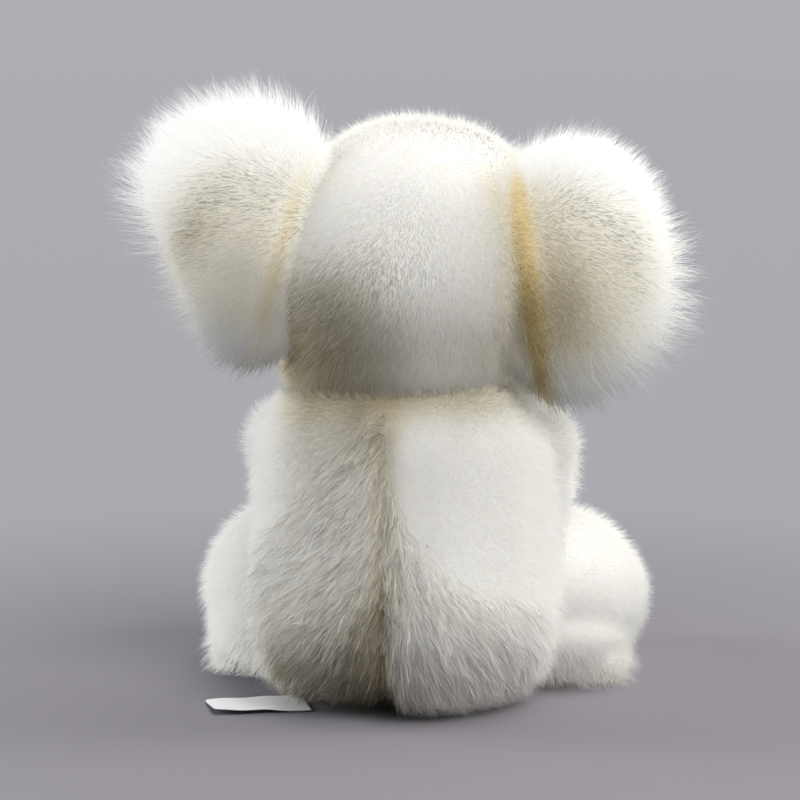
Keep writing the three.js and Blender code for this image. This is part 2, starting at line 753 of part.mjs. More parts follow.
const head = new THREE.Group();
head.add(
  meshOf("head_cover", headCover, materials.pile),
  meshOf("head_filling", headFilling, materials.filling),
  meshOf("nose", domeOnPost(noseHalfWidth, noseHalfHeight, noseDome, noseFrame), materials.nose),
  meshOf("nose_washer", washer(noseFrame), materials.washer),
  meshOf("mouth_thread", mouthThread, materials.mouthThread),
);
head.applyMatrix4(headFrame);
koala.add(head);

for (const side of ["left", "right"]) {
  const handed = (solid) => (side === "left" ? solid : mirrored(solid));
  const eyeFrame = eyeFrames[side];
  head.add(
    meshOf(`eye_${side}`, domeOnPost(eyeRadius, eyeRadius, eyeDome, eyeFrame), materials.eye),
    meshOf(`eye_${side}_washer`, washer(eyeFrame), materials.washer),
    meshOf(`ear_${side}_back`, handed(earBack), materials.pile),
    meshOf(`ear_${side}_lining`, handed(earLining), materials.longPile),
    meshOf(`ear_${side}_filling`, handed(earFilling), materials.filling),
  );
  koala.add(
    meshOf(`arm_${side}_cover`, handed(armCover), materials.pile),
    meshOf(`arm_${side}_filling`, handed(armFilling), materials.filling),
    meshOf(`leg_${side}_cover`, handed(legCover), materials.pile),
    meshOf(`leg_${side}_filling`, handed(legFilling), materials.filling),
    meshOf(`foot_${side}_pad`, handed(footPad(0)), materials.footPad),
  );
}

export default koala;
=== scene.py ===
"""Looks of a seated plush koala: pile grown as real strands on stuffed skins, ears, face, label and stage.

Sizes are in millimetres until a mesh is made. +Z is up, the koala faces -Y and its left side is +X. In a function,
p stands for places, one a row, and n for the skin's normals there.
"""

import math
from functools import partial

import bpy
import numpy as np
from mathutils import Matrix, Vector, kdtree, noise


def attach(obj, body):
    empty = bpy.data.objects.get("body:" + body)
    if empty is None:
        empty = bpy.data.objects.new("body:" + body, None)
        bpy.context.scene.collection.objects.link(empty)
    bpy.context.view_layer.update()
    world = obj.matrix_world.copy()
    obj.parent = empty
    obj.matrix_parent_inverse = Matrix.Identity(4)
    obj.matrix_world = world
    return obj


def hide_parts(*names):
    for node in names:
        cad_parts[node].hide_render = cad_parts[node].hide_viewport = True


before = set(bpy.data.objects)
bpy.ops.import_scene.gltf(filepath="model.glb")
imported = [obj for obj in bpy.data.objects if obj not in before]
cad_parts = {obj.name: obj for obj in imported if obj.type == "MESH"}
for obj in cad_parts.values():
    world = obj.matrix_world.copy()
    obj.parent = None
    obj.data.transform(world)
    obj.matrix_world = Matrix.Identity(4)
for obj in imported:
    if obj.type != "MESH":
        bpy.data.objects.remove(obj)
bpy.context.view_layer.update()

MM = 0.001
DENSITY = 1.0  # the share of the strands that grows
MOST_FACES = 190_000  # in one piece
SEED = 20240611
rng = np.random.default_rng(SEED)
noise.seed_set(SEED)

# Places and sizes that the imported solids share
NECK = np.array([0.0, -4.0, 108.5])
NECK_RADIUS = 24.0
HEAD_HEIGHT = 92
HEAD_ROLL = math.radians(4.5)
EAR_SEAM = np.array([40.055, 19.536, 43.0])
EAR_TILT = math.radians(12.5)
EAR_REACH, EAR_HALF_HEIGHT = 55.0, 44.0
SHOULDER = np.array([42.974, -9.977, 86.0])
ELBOW = np.array([42.974, -21.977, 69.0])
PAW = np.array([30.974, -59.977, 60.0])
HIP = np.array([47.701, -33.262, 29.5])
ANKLE = np.array([53.701, -67.262, 18.0])
TOE = np.array([56.701, -89.262, 19.0])
HIP_RADIUS = 30.0
SHOULDER_RADIUS = 14.0
MIRRORS = {"left": np.array([1.0, 1, 1]), "right": np.array([-1.0, 1, 1])}
UP = np.array([0, 0, 1.0])

# The skins lie under the pile's tips. The neck crease slopes across the toy and opens outwards.
PILE_DEPTH = 2.0
LOWEST = 0.3
CREASE_TILT = math.tan(math.radians(3.5))
CREASE_OPENING = math.tan(math.radians(2.7))
CREASE_GAP = 0.8
HIDDEN_BY_NECK = 26  # the radius about the neck in which nothing grows

# Share of the height, of the half width and of the depth
TORSO_LEVELS = [
    (-0.085, 0, 0), (-0.04, 0.55, 0.56), (0.02, 0.79, 0.81), (0.1, 0.93, 0.95), (0.25, 1, 1), (0.42, 1, 0.97),
    (0.57, 1, 0.92), (0.71, 1, 0.86), (0.82, 0.99, 0.81), (0.89, 0.95, 0.76), (0.95, 0.87, 0.69),
    (1.01, 0.7, 0.56), (1.05, 0, 0),
]
HEAD_LEVELS = [
    (-0.12, 0, 0), (-0.08, 0.42, 0.4), (0, 0.7, 0.66), (0.07, 0.83, 0.78), (0.15, 0.92, 0.87), (0.27, 0.985, 0.96),
    (0.42, 1, 1), (0.57, 0.965, 0.97), (0.72, 0.87, 0.88), (0.84, 0.72, 0.73), (0.93, 0.52, 0.53),
    (0.98, 0.29, 0.3), (1, 0, 0),
]
# Share of the reach and of the half height
EAR_OUTLINES = {
    "left": [
        (0.03, 0.78), (0.3, 0.88), (0.6, 0.8), (0.86, 0.6), (0.93, 0.22), (0.84, -0.08), (0.71, -0.34), (0.57, -0.55),
        (0.4, -0.75), (0.22, -0.88), (0.02, -0.9), (-0.2, -0.66), (-0.34, 0), (-0.22, 0.6),
    ],
    "right": [
        (0.03, 0.8), (0.22, 0.87), (0.44, 0.86), (0.62, 0.72), (0.75, 0.48), (0.82, 0.1), (0.8, -0.3), (0.69, -0.54),
        (0.52, -0.7), (0.36, -0.82), (0.18, -0.93), (0, -0.9), (-0.2, -0.66), (-0.34, 0), (-0.22, 0.6),
    ],
}


# Small mathematics


def smooth(low, high, x):
    t = np.clip((np.asarray(x, float) - low) / (high - low), 0, 1)
    return t * t * (3 - 2 * t)


def bell(*offsets):
    """1 where every offset is 0. It falls to 1/e where one of them is 1."""
    return np.exp(-sum(offset**2 for offset in offsets))


def vectors(*parts):
    """Vectors from their three parts. A number is the same part in all of them."""
    return np.stack(np.broadcast_arrays(*parts), -1)


def mixed(a, b, share):
    return a * (1 - share[:, None]) + b * share[:, None]


def unit(v):
    return v / np.maximum(np.linalg.norm(v, axis=-1, keepdims=True), 1e-9)


def tangent(v, n):
    """The part of v that lies along the surface with normals n, as unit vectors."""
    return unit(v - (v * n).sum(-1, keepdims=True) * n)


def turns(sides):
    return np.arange(sides) * 2 * math.pi / sides


def round_about(angle, across, other):
    return np.cos(angle)[:, None] * across + np.sin(angle)[:, None] * other


def length_along(line):
    return np.r_[0, np.cumsum(np.linalg.norm(np.diff(line, axis=0), axis=1))]


def spline(points, count, closed=False):
    """Points along a Catmull-Rom curve, evenly spaced."""
    p = np.array(points, float)
    if closed:
        p = np.vstack([p[-1], p, p[0], p[1]])
    else:
        p = np.vstack([2 * p[0] - p[1], p, 2 * p[-1] - p[-2]])
    dense = []
    for a, b, c, d in zip(p[:-3], p[1:-2], p[2:-1], p[3:]):
        t = np.linspace(0, 1, 24, endpoint=False)[:, None]
        square, cube = (2 * a - 5 * b + 4 * c - d) * t**2, (3 * b - a - 3 * c + d) * t**3
        dense.append(0.5 * (2 * b + (c - a) * t + square + cube))
    dense = np.vstack(dense + [p[-2:-1]])
    length = length_along(dense)
    places = np.linspace(0, length[-1], count + 1 if closed else count)
    out = np.stack([np.interp(places, length, dense[:, i]) for i in range(dense.shape[1])], 1)
    return out[:-1] if closed else out


def cells(points, size, seed):
    """A smooth random vector at each point, about one unit long, that changes over the given size."""
    shift = Vector((seed * 7.3, seed * 3.1, seed * 5.7))
    return np.array([noise.noise_vector(Vector(p) / size + shift) for p in points])


def placed(points, matrix):
    m = np.array(matrix)
    return points @ m[:3, :3].T + m[:3, 3]


def backs(matrix, points):
    return placed(points, np.linalg.inv(matrix))


def turned_y(angle):
    return np.array(Matrix.Rotation(angle, 4, "Y"))


def shifted(v):
    return np.array(Matrix.Translation(Vector(v)))


HEAD_FRAME = shifted(NECK) @ turned_y(-HEAD_ROLL)
EAR_FRAME = shifted(EAR_SEAM) @ turned_y(-EAR_TILT)
EAR_FRAMES = {"left": HEAD_FRAME @ EAR_FRAME, "right": HEAD_FRAME @ np.diag([-1.0, 1, 1, 1]) @ EAR_FRAME}


# Skins: closed meshes under the pile


def linked(name, data):
    ob = bpy.data.objects.new(name, data)
    bpy.context.scene.collection.objects.link(ob)
    return ob


def mesh_of(name, points, faces):
    mesh = bpy.data.meshes.new(name)
    mesh.from_pydata((np.asarray(points) * MM).tolist(), [], [tuple(f) for f in faces])
    mesh.validate()
    mesh.update()
    mesh.shade_smooth()
    return linked(name, mesh)


def merged(forms):
    """The points and the faces of several closed forms as one."""
    points, faces, start = [], [], 0
    for part, rings in forms:
        points.append(part)
        faces += [tuple(i + start for i in f) for f in rings]
        start += len(part)
    return np.vstack(points), faces


def ring_faces(rings, sides):
    """Faces of a skin whose points are the first pole, rings x sides, and the last pole."""
    faces = []
    last = 1 + rings * sides
    for i in range(sides):
        j = (i + 1) % sides
        faces.append((0, 1 + j, 1 + i))
        faces.append((last, last - sides + i, last - sides + j))
        for r in range(rings - 1):
            a = 1 + r * sides
            b = a + sides
            faces.append((a + i, a + j, b + j, b + i))
    return faces


def level_points(levels, height, half_width, back, front, forward, rings, sides):
    """An upright form with the given levels, deeper or flatter at the back than in front, that leans forward."""
    rows = spline(levels, rings + 2)
    angle = turns(sides)
    out = [[0, -rows[0, 0] * forward, rows[0, 0] * height]]
    for h, w, d in rows[1:-1]:
        half_depth = np.where(np.sin(angle) > 0, back, front) * d
        out.extend(vectors(w * half_width * np.cos(angle), half_depth * np.sin(angle) - h * forward, h * height))
    out.append([0, -rows[-1, 0] * forward, rows[-1, 0] * height])
    return np.array(out, float), ring_faces(rings, sides)


def limb_points(places, radii, rings, sides):
    """A limb with round ends, and the given radius at each place along its middle."""
    path = spline(places, 80)
    size = spline([(i * 10.0, r) for i, r in enumerate(radii)], 80)[:, 1]
    length = length_along(path)
    ways = unit(np.gradient(path, axis=0))
    whole = radii[0] + length[-1] + radii[-1]
    out = [path[0] - ways[0] * radii[0]]
    for ring in range(1, rings + 1):
        along = whole * (1 - math.cos(math.pi * ring / (rings + 1))) / 2 - radii[0]
        here = min(max(along, 0), length[-1])
        into = along / radii[0] if along < 0 else max(0, along - length[-1]) / radii[-1]
        way = unit(np.array([np.interp(here, length, ways[:, i]) for i in range(3)]))
        centre = np.array([np.interp(here, length, path[:, i]) for i in range(3)]) + way * (along - here)
        radius = np.interp(here, length, size) * math.sqrt(max(0, 1 - into * into))
        across = unit(np.cross(way, [0, 0, 1]))
        out.extend(centre + radius * round_about(turns(sides), across, np.cross(way, across)))
    out.append(path[-1] + ways[-1] * radii[-1])
    return np.array(out), ring_faces(rings, sides)


def ball_points(radius, centre):
    """A ball, or an ellipsoid where the radius has three parts."""
    rings, sides = 28, 40
    angle = turns(sides)
    out = [[0, 0, -1]]
    for r in range(1, rings + 1):
        lat = -math.pi / 2 + math.pi * r / (rings + 1)
        out.extend(vectors(math.cos(lat) * np.cos(angle), math.cos(lat) * np.sin(angle), math.sin(lat)))
    out.append([0, 0, 1])
    return np.array(out, float) * np.broadcast_to(radius, 3) + centre, ring_faces(rings, sides)


def pillow_points(outline, back, front, rings):
    """A flat cushion with the given outline and a thickness to either side."""
    middle = outline.mean(0)
    out = [[middle[0], back, middle[1]]]
    for ring in range(1, rings + 1):
        angle = math.pi * ring / (rings + 1)
        lift = (back if math.cos(angle) > 0 else front) * math.cos(angle)
        flat = middle + (outline - middle) * math.sin(angle) ** 0.75
        out.extend(vectors(flat[:, 0], lift, flat[:, 1]))
    out.append([middle[0], -front, middle[1]])
    return np.array(out), ring_faces(rings, len(outline))


def applied(ob):
    """Gives an object the mesh that its modifiers make."""
    done = bpy.data.meshes.new_from_object(ob.evaluated_get(bpy.context.evaluated_depsgraph_get()))
    old, ob.data = ob.data, done
    ob.modifiers.clear()
    bpy.data.meshes.remove(old)
    done.name = ob.name


def union_skin(name, forms, voxel, rounds):
    """One smooth closed skin round several forms."""
    ob = mesh_of(name, *merged(forms))
    remesh = ob.modifiers.new("remesh", "REMESH")
    remesh.mode = "VOXEL"
    remesh.voxel_size = voxel * MM
    remesh.adaptivity = 0
    relax = ob.modifiers.new("relax", "SMOOTH")
    relax.factor = 0.5
    relax.iterations = rounds
    applied(ob)
    ob.data.shade_smooth()
    return ob


def dress(ob, material, body, slot, *nodes):
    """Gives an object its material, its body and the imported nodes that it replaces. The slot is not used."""
    ob.data.materials.append(material)
    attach(ob, body)
    if nodes:
        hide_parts(*nodes)


def rows_of(items, key, kind=np.float32):
    out = np.empty(len(items) * 3, kind)
    items.foreach_get(key, out)
    return out.reshape(-1, 3)


def points_of(ob):
    return rows_of(ob.data.vertices, "co").astype(float) / MM


def normals_of(ob):
    return rows_of(ob.data.vertex_normals, "vector").astype(float)


def set_points(ob, points):
    ob.data.vertices.foreach_set("co", (points * MM).astype(np.float32).ravel())
    ob.data.update()


def inside(p, centre, radius):
    return ((p - centre) ** 2).sum(1) < radius**2


def out_of_ball(p, n, centre, radius):
    """Points inside a ball go back along their normals until they leave it."""
    away = p - centre
    along = (away * n).sum(1)
    depth = along + np.sqrt(np.maximum(along**2 - (away**2).sum(1) + radius**2, 0))
    return np.where(inside(p, centre, radius)[:, None], p - n * depth[:, None], p)


def out_of_neck(p, gap):
    radius = NECK_RADIUS + gap
    return np.where(inside(p, NECK, radius)[:, None], NECK + unit(p - NECK) * radius, p)


def neck_reach(p):
    return np.hypot(p[:, 0] - NECK[0], p[:, 1] - NECK[1])


def over_crease(p):
    """Height over the neck crease."""
    return p[:, 2] - NECK[2] + p[:, 0] * CREASE_TILT


def crease_wall(p, way):
    """Height of the crease's upper wall, way 1, or of its lower wall, way -1."""
    return NECK[2] + way * neck_reach(p) * CREASE_OPENING - p[:, 0] * CREASE_TILT + way * CREASE_GAP


# Pile: closed three-sided strands that taper to a point


def roots_on(ob, count, keep):
    """Random places on a skin and its normals there. keep is the chance that a place is used."""
    ob.data.calc_loop_triangles()
    tri = rows_of(ob.data.loop_triangles, "vertices", np.int32)
    verts, normals = points_of(ob), normals_of(ob)
    a, b, c = (verts[tri[:, i]] for i in range(3))
    area = np.linalg.norm(np.cross(b - a, c - a), axis=1) / 2
    picks = rng.choice(len(tri), count, p=area / area.sum())
    u, v = rng.random(count), rng.random(count)
    flip = u + v > 1
    u[flip], v[flip] = 1 - u[flip], 1 - v[flip]
    w = vectors(1 - u - v, u, v)[..., None]
    p = (verts[tri[picks]] * w).sum(1)
    n = unit((normals[tri[picks]] * w).sum(1))
    used = rng.random(count) < keep(p, n)
    return p[used], n[used]


def grow(p, n, comb, length, rise, bend, segments, jitter, curl, clump, clump_size):
    """Centrelines of strands, as an array of strands x points x 3.

    rise and bend are angles off the normal at root and tip. jitter and curl make strands stray as a whole and along
    their length, and clump draws each towards one of its neighbours.
    """
    floor = 0.35
    count = len(p)
    rise, bend = (np.broadcast_to(angle, count)[:, None] for angle in (rise, bend))
    way = tangent(comb, n)
    stray = rng.normal(0, 1, (count, 3)) * jitter
    wander = rng.normal(0, 1, (count, 3)) * curl
    line = [p]
    for k in range(segments):
        t = (k + 0.5) / segments
        angle = rise + (bend - rise) * t
        step = n * np.cos(angle) + way * np.sin(angle) + stray * (0.6 + 0.4 * t) + wander * (t - 0.3)
        line.append(line[-1] + unit(step) * length[:, None] / segments)
    line = np.stack(line, 1)
    if clump:
        guides = rng.choice(count, max(2, int(count / max(1.0, clump_size))), replace=False)
        tree = kdtree.KDTree(len(guides))
        for i, g in enumerate(guides):
            tree.insert(p[g], i)
        tree.balance()
        near = guides[[tree.find(q)[1] for q in p]]
        for k in range(1, segments + 1):
            line[:, k] += (line[near, k] - line[:, k]) * (clump * (k / segments) ** 1.4)
    low = line[:, 1:, 2] < floor
    line[:, 1:, 2] = np.where(low, floor + 0.25 * rng.random(low.shape), line[:, 1:, 2])
    return line


def strand_mesh(name, lines, width, tint, deep, lit, round_share):
    """One closed mesh of strands, shaded mostly by the skin's own normals, as a thick pile takes light. Each colour is
    looked up by tint (u) and place along the strand (v). Painted shade moves v towards the strand's darker root
    colours."""
    taper, tip, root = 0.75, 0.97, 0.31
    count, points = lines.shape[:2]
    rings = points - 1
    per_strand = rings * 3 + 1
    # Painted shade darkens a strand: bare is the share of its colour ramp that it keeps, so its colours slide towards
    # the dark root end.
    bare = 1 - 0.95 * deep
    along = unit(lines[:, -1] - lines[:, 0])
    side = unit(np.cross(along, rng.normal(0, 1, (count, 3))))
    other = np.cross(along, side)
    verts, shade = np.empty((count, per_strand, 3)), np.empty((count, per_strand, 3))
    uv = np.empty((count, per_strand, 2))
    for k in range(rings):
        t = k / rings
        radius = width / 2 * (1 - taper * t**1.3)
        for c in range(3):
            a = 2 * math.pi * c / 3
            out = math.cos(a) * side + math.sin(a) * other
            verts[:, k * 3 + c] = lines[:, k] + radius * out
            shade[:, k * 3 + c] = unit(lit + round_share * out)
            uv[:, k * 3 + c] = vectors(tint + 0.006 * (c - 1), np.minimum((root + 0.62 * t) * bare, tip))
    verts[:, -1] = lines[:, -1]
    shade[:, -1] = lit
    uv[:, -1] = vectors(tint, tip * bare)
    faces = [(0, 2, 1)]
    for a in range(0, rings * 3 - 3, 3):
        for c in range(3):
            d = (c + 1) % 3
            faces += [(a + c, a + d, a + 3 + d), (a + c, a + 3 + d, a + 3 + c)]
    a = (rings - 1) * 3
    faces += [(a + c, a + (c + 1) % 3, rings * 3) for c in range(3)]
    corner = (np.arange(count)[:, None, None] * per_strand + np.array(faces, np.int64)[None]).reshape(-1)
    total = len(corner) // 3
    mesh = bpy.data.meshes.new(name)
    mesh.vertices.add(count * per_strand)
    mesh.vertices.foreach_set("co", (verts * MM).astype(np.float32).ravel())
    mesh.loops.add(len(corner))
    mesh.loops.foreach_set("vertex_index", corner.astype(np.int32))
    mesh.polygons.add(total)
    mesh.polygons.foreach_set("loop_start", (np.arange(total) * 3).astype(np.int32))
    mesh.polygons.foreach_set("use_smooth", np.ones(total, bool))
    mesh.update(calc_edges=True)
    bent = mesh.attributes.new("custom_normal", "FLOAT_VECTOR", "POINT")
    bent.data.foreach_set("vector", shade.astype(np.float32).ravel())
    places = np.clip(uv.reshape(-1, 2)[corner], 0.002, 0.998).astype(np.float32)
    for layer in ("fibre", "OFBake"):
        mesh.uv_layers.new(name=layer).data.foreach_set("uv", places.ravel())
    return linked(name, mesh)


def fur(name, lines, width, tint, deep, lit, body, slot, shadows, round_share):
    """The strands as pieces that stay under the face limit, each riding on a body."""
    count, points = lines.shape[:2]
    faces_each = 4 + 6 * (points - 2)
    parts = max(1, math.ceil(count * faces_each / MOST_FACES))
    for i in range(parts):
        pick = slice(i, None, parts)
        ob = strand_mesh(f"{name}_{i + 1}", lines[pick], width, tint[pick], deep[pick], lit[pick], round_share)
        ob.visible_shadow = ob.visible_diffuse = shadows
        dress(ob, pile, body, slot)


def value_of(value, p, n):
    return value(p, n) if callable(value) else value


def scaled(function, factor, more=0.0):
    return lambda p, n: factor * function(p, n) + more


def everywhere(p, n):
    return np.ones(len(p))


def pile_on(
    name, count, keep, comb, length, *, ob, body, slot, tint, rise, bend, width, segments=2, clump=0.0, clump_size=6,
    jitter=0.16, curl=0.1, spread=(0.75, 1.2), shadows=0.0, round_share=0.35, facing=None, glint=0.0, deep=0.0,
):
    """Pile on a skin, named after its body. length, rise, bend, tint and the painted shade are each a number or a
    function of places and normals; the warm end of tint is painted warm shade. facing is the way that the strands take
    light, glint how much it differs from strand to strand and how much painted shade it adds at random, and shadows
    the share of the strands that cast any."""
    p, n = roots_on(ob, int(count * DENSITY), keep)
    many = len(p)
    size = value_of(length, p, n) * rng.uniform(*spread, many)
    angles = value_of(rise, p, n), value_of(bend, p, n)
    lines = grow(p, n, comb(p), size, *angles, segments, jitter, curl, clump, clump_size)
    shade = np.clip(value_of(tint, p, n) + rng.normal(0, 0.04, many), 0.02, 0.98)
    lit = n if facing is None else unit(facing(p, n))
    if glint:
        lit = unit(lit + glint * rng.normal(0, 1, lit.shape))
    # Painted shade for each strand, varied a little, and with glint more painted shade at random
    depth = value_of(deep, p, n) * rng.uniform(0.75, 1.2, many) + glint * np.abs(rng.normal(0, 0.35, many))
    depth = np.clip(depth, -0.5, 1)
    dark = rng.random(many) < shadows
    for part, pick in (("", ~dark), ("_under", dark)):
        if pick.any():
            strands = lines[pick], width, shade[pick], depth[pick], lit[pick]
            fur(f"{body}_{name}{part}", *strands, body, slot, part != "", round_share)


# Materials


def feed(tree, node, inputs):
    """Sets inputs of a node to numbers and colours, and links them to outputs of other nodes."""
    for name, value in inputs.items():
        if isinstance(value, bpy.types.NodeSocket):
            tree.links.new(value, node.inputs[name])
        else:
            node.inputs[name].default_value = value


def added(tree, kind, inputs=None, **settings):
    """The outputs of a new node."""
    node = tree.nodes.new("ShaderNode" + kind)
    for name, value in settings.items():
        setattr(node, name, value)
    feed(tree, node, inputs or {})
    return node.outputs


def surface(name, looks):
    """A material whose shader gets the inputs that looks returns."""
    material = bpy.data.materials.new(name)
    material.use_nodes = True
    tree = material.node_tree
    feed(tree, tree.nodes["Principled BSDF"], looks(tree))
    return material


def ramp(tree, source, *stops):
    node = tree.nodes.new("ShaderNodeValToRGB")
    while len(node.color_ramp.elements) < len(stops):
        node.color_ramp.elements.new(0.5)
    for element, (place, colour) in zip(node.color_ramp.elements, stops):
        element.position = place
        element.color = (*colour, 1)
    tree.links.new(source, node.inputs["Fac"])
    return node.outputs["Color"]


def greys(tree, source, low, high):
    return ramp(tree, source, (0.3, (low,) * 3), (0.7, (high,) * 3))


def multiplied(tree, a, b):
    return added(tree, "Mix", {"Factor": 1.0, "A": a, "B": b}, data_type="RGBA", blend_type="MULTIPLY")["Result"]


def texture(tree, kind, scale, detail=2.0, distortion=0.0, place=None, **settings):
    """The value of a texture in the object's own coordinates, or in those of place."""
    inputs = {"Vector": added(tree, "TexCoord")["Object"] if place is None else place, "Scale": scale, "Detail": detail}
    if distortion:
        inputs["Distortion"] = distortion
    return added(tree, "Tex" + kind, inputs, **settings)["Distance" if kind == "Voronoi" else "Fac"]


def bump(tree, height, strength, distance):
    return added(tree, "Bump", {"Strength": strength, "Distance": distance, "Height": height})["Normal"]


WHITE, IVORY = (0.955, 0.955, 0.95), (0.945, 0.935, 0.895)
# Tints: white and ivory are the pile's own colours; the cream and orange end is painted warm shade for creases.
TINTS = [(0.0, WHITE), (0.3, IVORY), (0.6, (0.92, 0.87, 0.72)), (1.0, (0.84, 0.66, 0.33))]
# Along a strand: darker and browner towards the root, painted shade inside the pile. Strands start a third of the way
# along, and painted shade moves them further towards the root.
ROOT_TO_TIP = [
    (0, (0.235, 0.21, 0.15)), (0.14, (0.53, 0.49, 0.385)), (0.32, (0.85, 0.82, 0.735)),
    (0.48, (0.965, 0.957, 0.925)), (1, (1, 1, 1)),
]


def pile_looks(tree):
    uv = added(tree, "SeparateXYZ", {"Vector": added(tree, "UVMap", uv_map="fibre")["UV"]})
    return {
        "Base Color": multiplied(tree, ramp(tree, uv["X"], *TINTS), ramp(tree, uv["Y"], *ROOT_TO_TIP)),
        "Roughness": 0.55,
        "Specular IOR Level": 0.3,
    }


def backing_looks(tree):
    """Woven backing and the dense foot of the pile: painted warm shade and painted shade in creases and other shaded
    places, mottled by tufts, with a fine nap.
    """
    warm, deep = (added(tree, "Attribute", attribute_name=name)["Fac"] for name in ("warm", "deep"))
    tufts, nap = texture(tree, "Noise", 260, 4), texture(tree, "Noise", 1400, 3)
    mottle = ramp(tree, tufts, (0.3, (0.96, 0.955, 0.94)), (0.65, (1, 1, 1)))
    shade = ramp(tree, deep, (0, (1, 1, 1)), (1, (0.34, 0.315, 0.25)))
    height = added(tree, "Math", {0: tufts, 1: nap}, operation="ADD")["Value"]
    return {
        "Base Color": multiplied(tree, multiplied(tree, ramp(tree, warm, *TINTS), mottle), shade),
        "Normal": bump(tree, height, 0.35, 0.0005),
        "Roughness": 0.9,
        "Specular IOR Level": 0.15,
        "Subsurface Weight": 0.4,
        "Subsurface Radius": (1.0, 0.85, 0.6),
        "Subsurface Scale": 0.003,
    }


pile = surface("ivory pile", pile_looks)
backing = surface("pile backing", backing_looks)


def finish_skin(ob, body, slot, nodes, tint=0.28, deep=0.0):
    # The skin's tint, with its painted warm shade, and its painted shade, as attributes that the backing reads.
    p, n = points_of(ob), normals_of(ob)
    for name, value in (("warm", tint), ("deep", deep)):
        layer = ob.data.attributes.new(name, "FLOAT", "POINT")
        layer.data.foreach_set("value", np.broadcast_to(value_of(value, p, n), len(p)).astype(np.float32))
    dress(ob, backing, body, slot, *nodes)


# Torso


def back_side(p):
    return smooth(5, 25, p[:, 1])


def torso_skin():
    """The skin's soft forms: the drawn-in back seam, the seat's two lobes and the hollows for the limbs."""
    form = level_points(
        TORSO_LEVELS, height=108.5, half_width=52, back=55, front=51, forward=4, rings=90, sides=120
    )
    ob = union_skin("torso_skin", [form], 1.6, 6)
    p, n = points_of(ob), normals_of(ob)
    p = p - n * PILE_DEPTH
    x, y, z = p.T
    back = back_side(p)
    low = 1 - smooth(10, 60, z)
    groove = (0.7 + 0.9 * (1 - smooth(60, 95, z)) + 1.5 * low) * bell(x / (3.5 + 5.5 * low))
    groove *= back * (1 - smooth(88, 100, z))
    lobes = 3.0 * bell((np.abs(x) - 24) / 17, (z - 34) / 20) * back
    under = (4.5 + 3.5 * smooth(-14, 2, x) * smooth(36, 22, x)) * (1 - smooth(0, 30, z)) * back
    belly = 2.0 * bell(x / 30, (z - 38) / 26) * (1 - smooth(-30, 0, y))
    p += n * (lobes + belly - groove - under)[:, None]
    for mirror in MIRRORS.values():
        p = out_of_ball(p, n, HIP * mirror, HIP_RADIUS - 0.6)
        p = out_of_ball(p, n, SHOULDER * mirror, SHOULDER_RADIUS - 0.6)
    p[:, 2] = np.minimum(p[:, 2], crease_wall(p, -1))
    p = out_of_neck(p, 0.4)
    p[:, 2] = np.maximum(p[:, 2], LOWEST)
    set_points(ob, p)
    return ob


def under_line(p):
    """How far a place lies under the line where the lower back's long pile starts. It falls away from the seam."""
    x, z = p[:, 0], p[:, 2]
    left = 97 - 1.12 * np.maximum(x - 5, 0)
    right = np.interp(-x, [0, 10, 24, 55], [84, 60, 42, 33])
    return np.where(x > 0, left, right) - z


def long_patch(p):
    return smooth(-9, 6, under_line(p)) * back_side(p)


def on_floor(p, n):
    return (n[:, 2] < -0.6) & (p[:, 2] < 3)


def torso_keep(p, n):
    """Everywhere but on the floor, in the limbs' hollows and next to the neck."""
    bare = on_floor(p, n) | ((p[:, 2] > 100) & (neck_reach(p) < HIDDEN_BY_NECK))
    for mirror in MIRRORS.values():
        bare |= inside(p, HIP * mirror, HIP_RADIUS + 0.5) | inside(p, SHOULDER * mirror, SHOULDER_RADIUS + 0.2)
    return 1.0 - bare


def torso_comb(p):
    """Down, and in the long patch also away from the seam."""
    x, y, z = p.T
    out = vectors(0.35 * np.sign(x) * smooth(2, 20, np.abs(x)), 0.1 * np.sign(y), -1)
    fan = vectors(np.sign(x) * (0.35 + 0.4 * smooth(0, 40, np.abs(x))), 0.25, -1)
    return mixed(out, fan, long_patch(p)) + 0.35 * cells(p, 9, 1) + 0.2 * cells(p, 3.5, 2)


def torso_tint(p, n):
    """The pile's ivory, with painted warm shade where the head and the torso meet, down the back seam and low down."""
    near_neck = (1 - smooth(2, 16, -over_crease(p))) * (0.4 + 0.6 * back_side(p))
    seam = bell(p[:, 0] / 6.0) * back_side(p)
    low = 1 - smooth(2, 34, p[:, 2])
    return 0.24 + 0.28 * near_neck + 0.22 * seam + 0.12 * low


def torso_painted_shade(p, n):
    """Painted shade: at the neck, most on its left, over the long pile, down the seam and low on the left."""
    x, y, z = p.T
    drop = np.maximum(-over_crease(p), 0)
    left = smooth(-10, 6, x)
    back = back_side(p)
    neck = left * smooth(50, 27, x) * (0.86 * bell(drop / 18.5))
    neck = neck + 0.72 * (1 - left) * bell(drop / (10 + 4 * smooth(-14, -26, x)))
    neck *= 0.3 + 0.7 * smooth(-20, 14, y)
    over = 0.2 * back * bell((under_line(p) + 7) / 9) * smooth(4, 12, x) * smooth(46, 36, x)
    seam = back * (0.4 * bell(x / 3.5) * smooth(100, 92, z) + 0.42 * bell((x - 1) / 8) * smooth(56, 36, z))
    lobe = 0.84 * back * smooth(58, 2, z) * smooth(0, 8, x) * smooth(47, 36, x)
    beside = 0.22 * back * bell((x - 30) / 11, (z - 86) / 12)
    return np.clip(neck + over + seam + lobe + beside, 0, 1)


def nap_length(p, n):
    return 3.6 + 1.4 * long_patch(p)


def long_keep(p, n):
    return torso_keep(p, n) * long_patch(p)


# Painted shade of the long pile: the torso's, and more of it on the left.
def long_painted_shade(p, n):
    return 0.16 * smooth(0, 6, p[:, 0]) + torso_painted_shade(p, n)


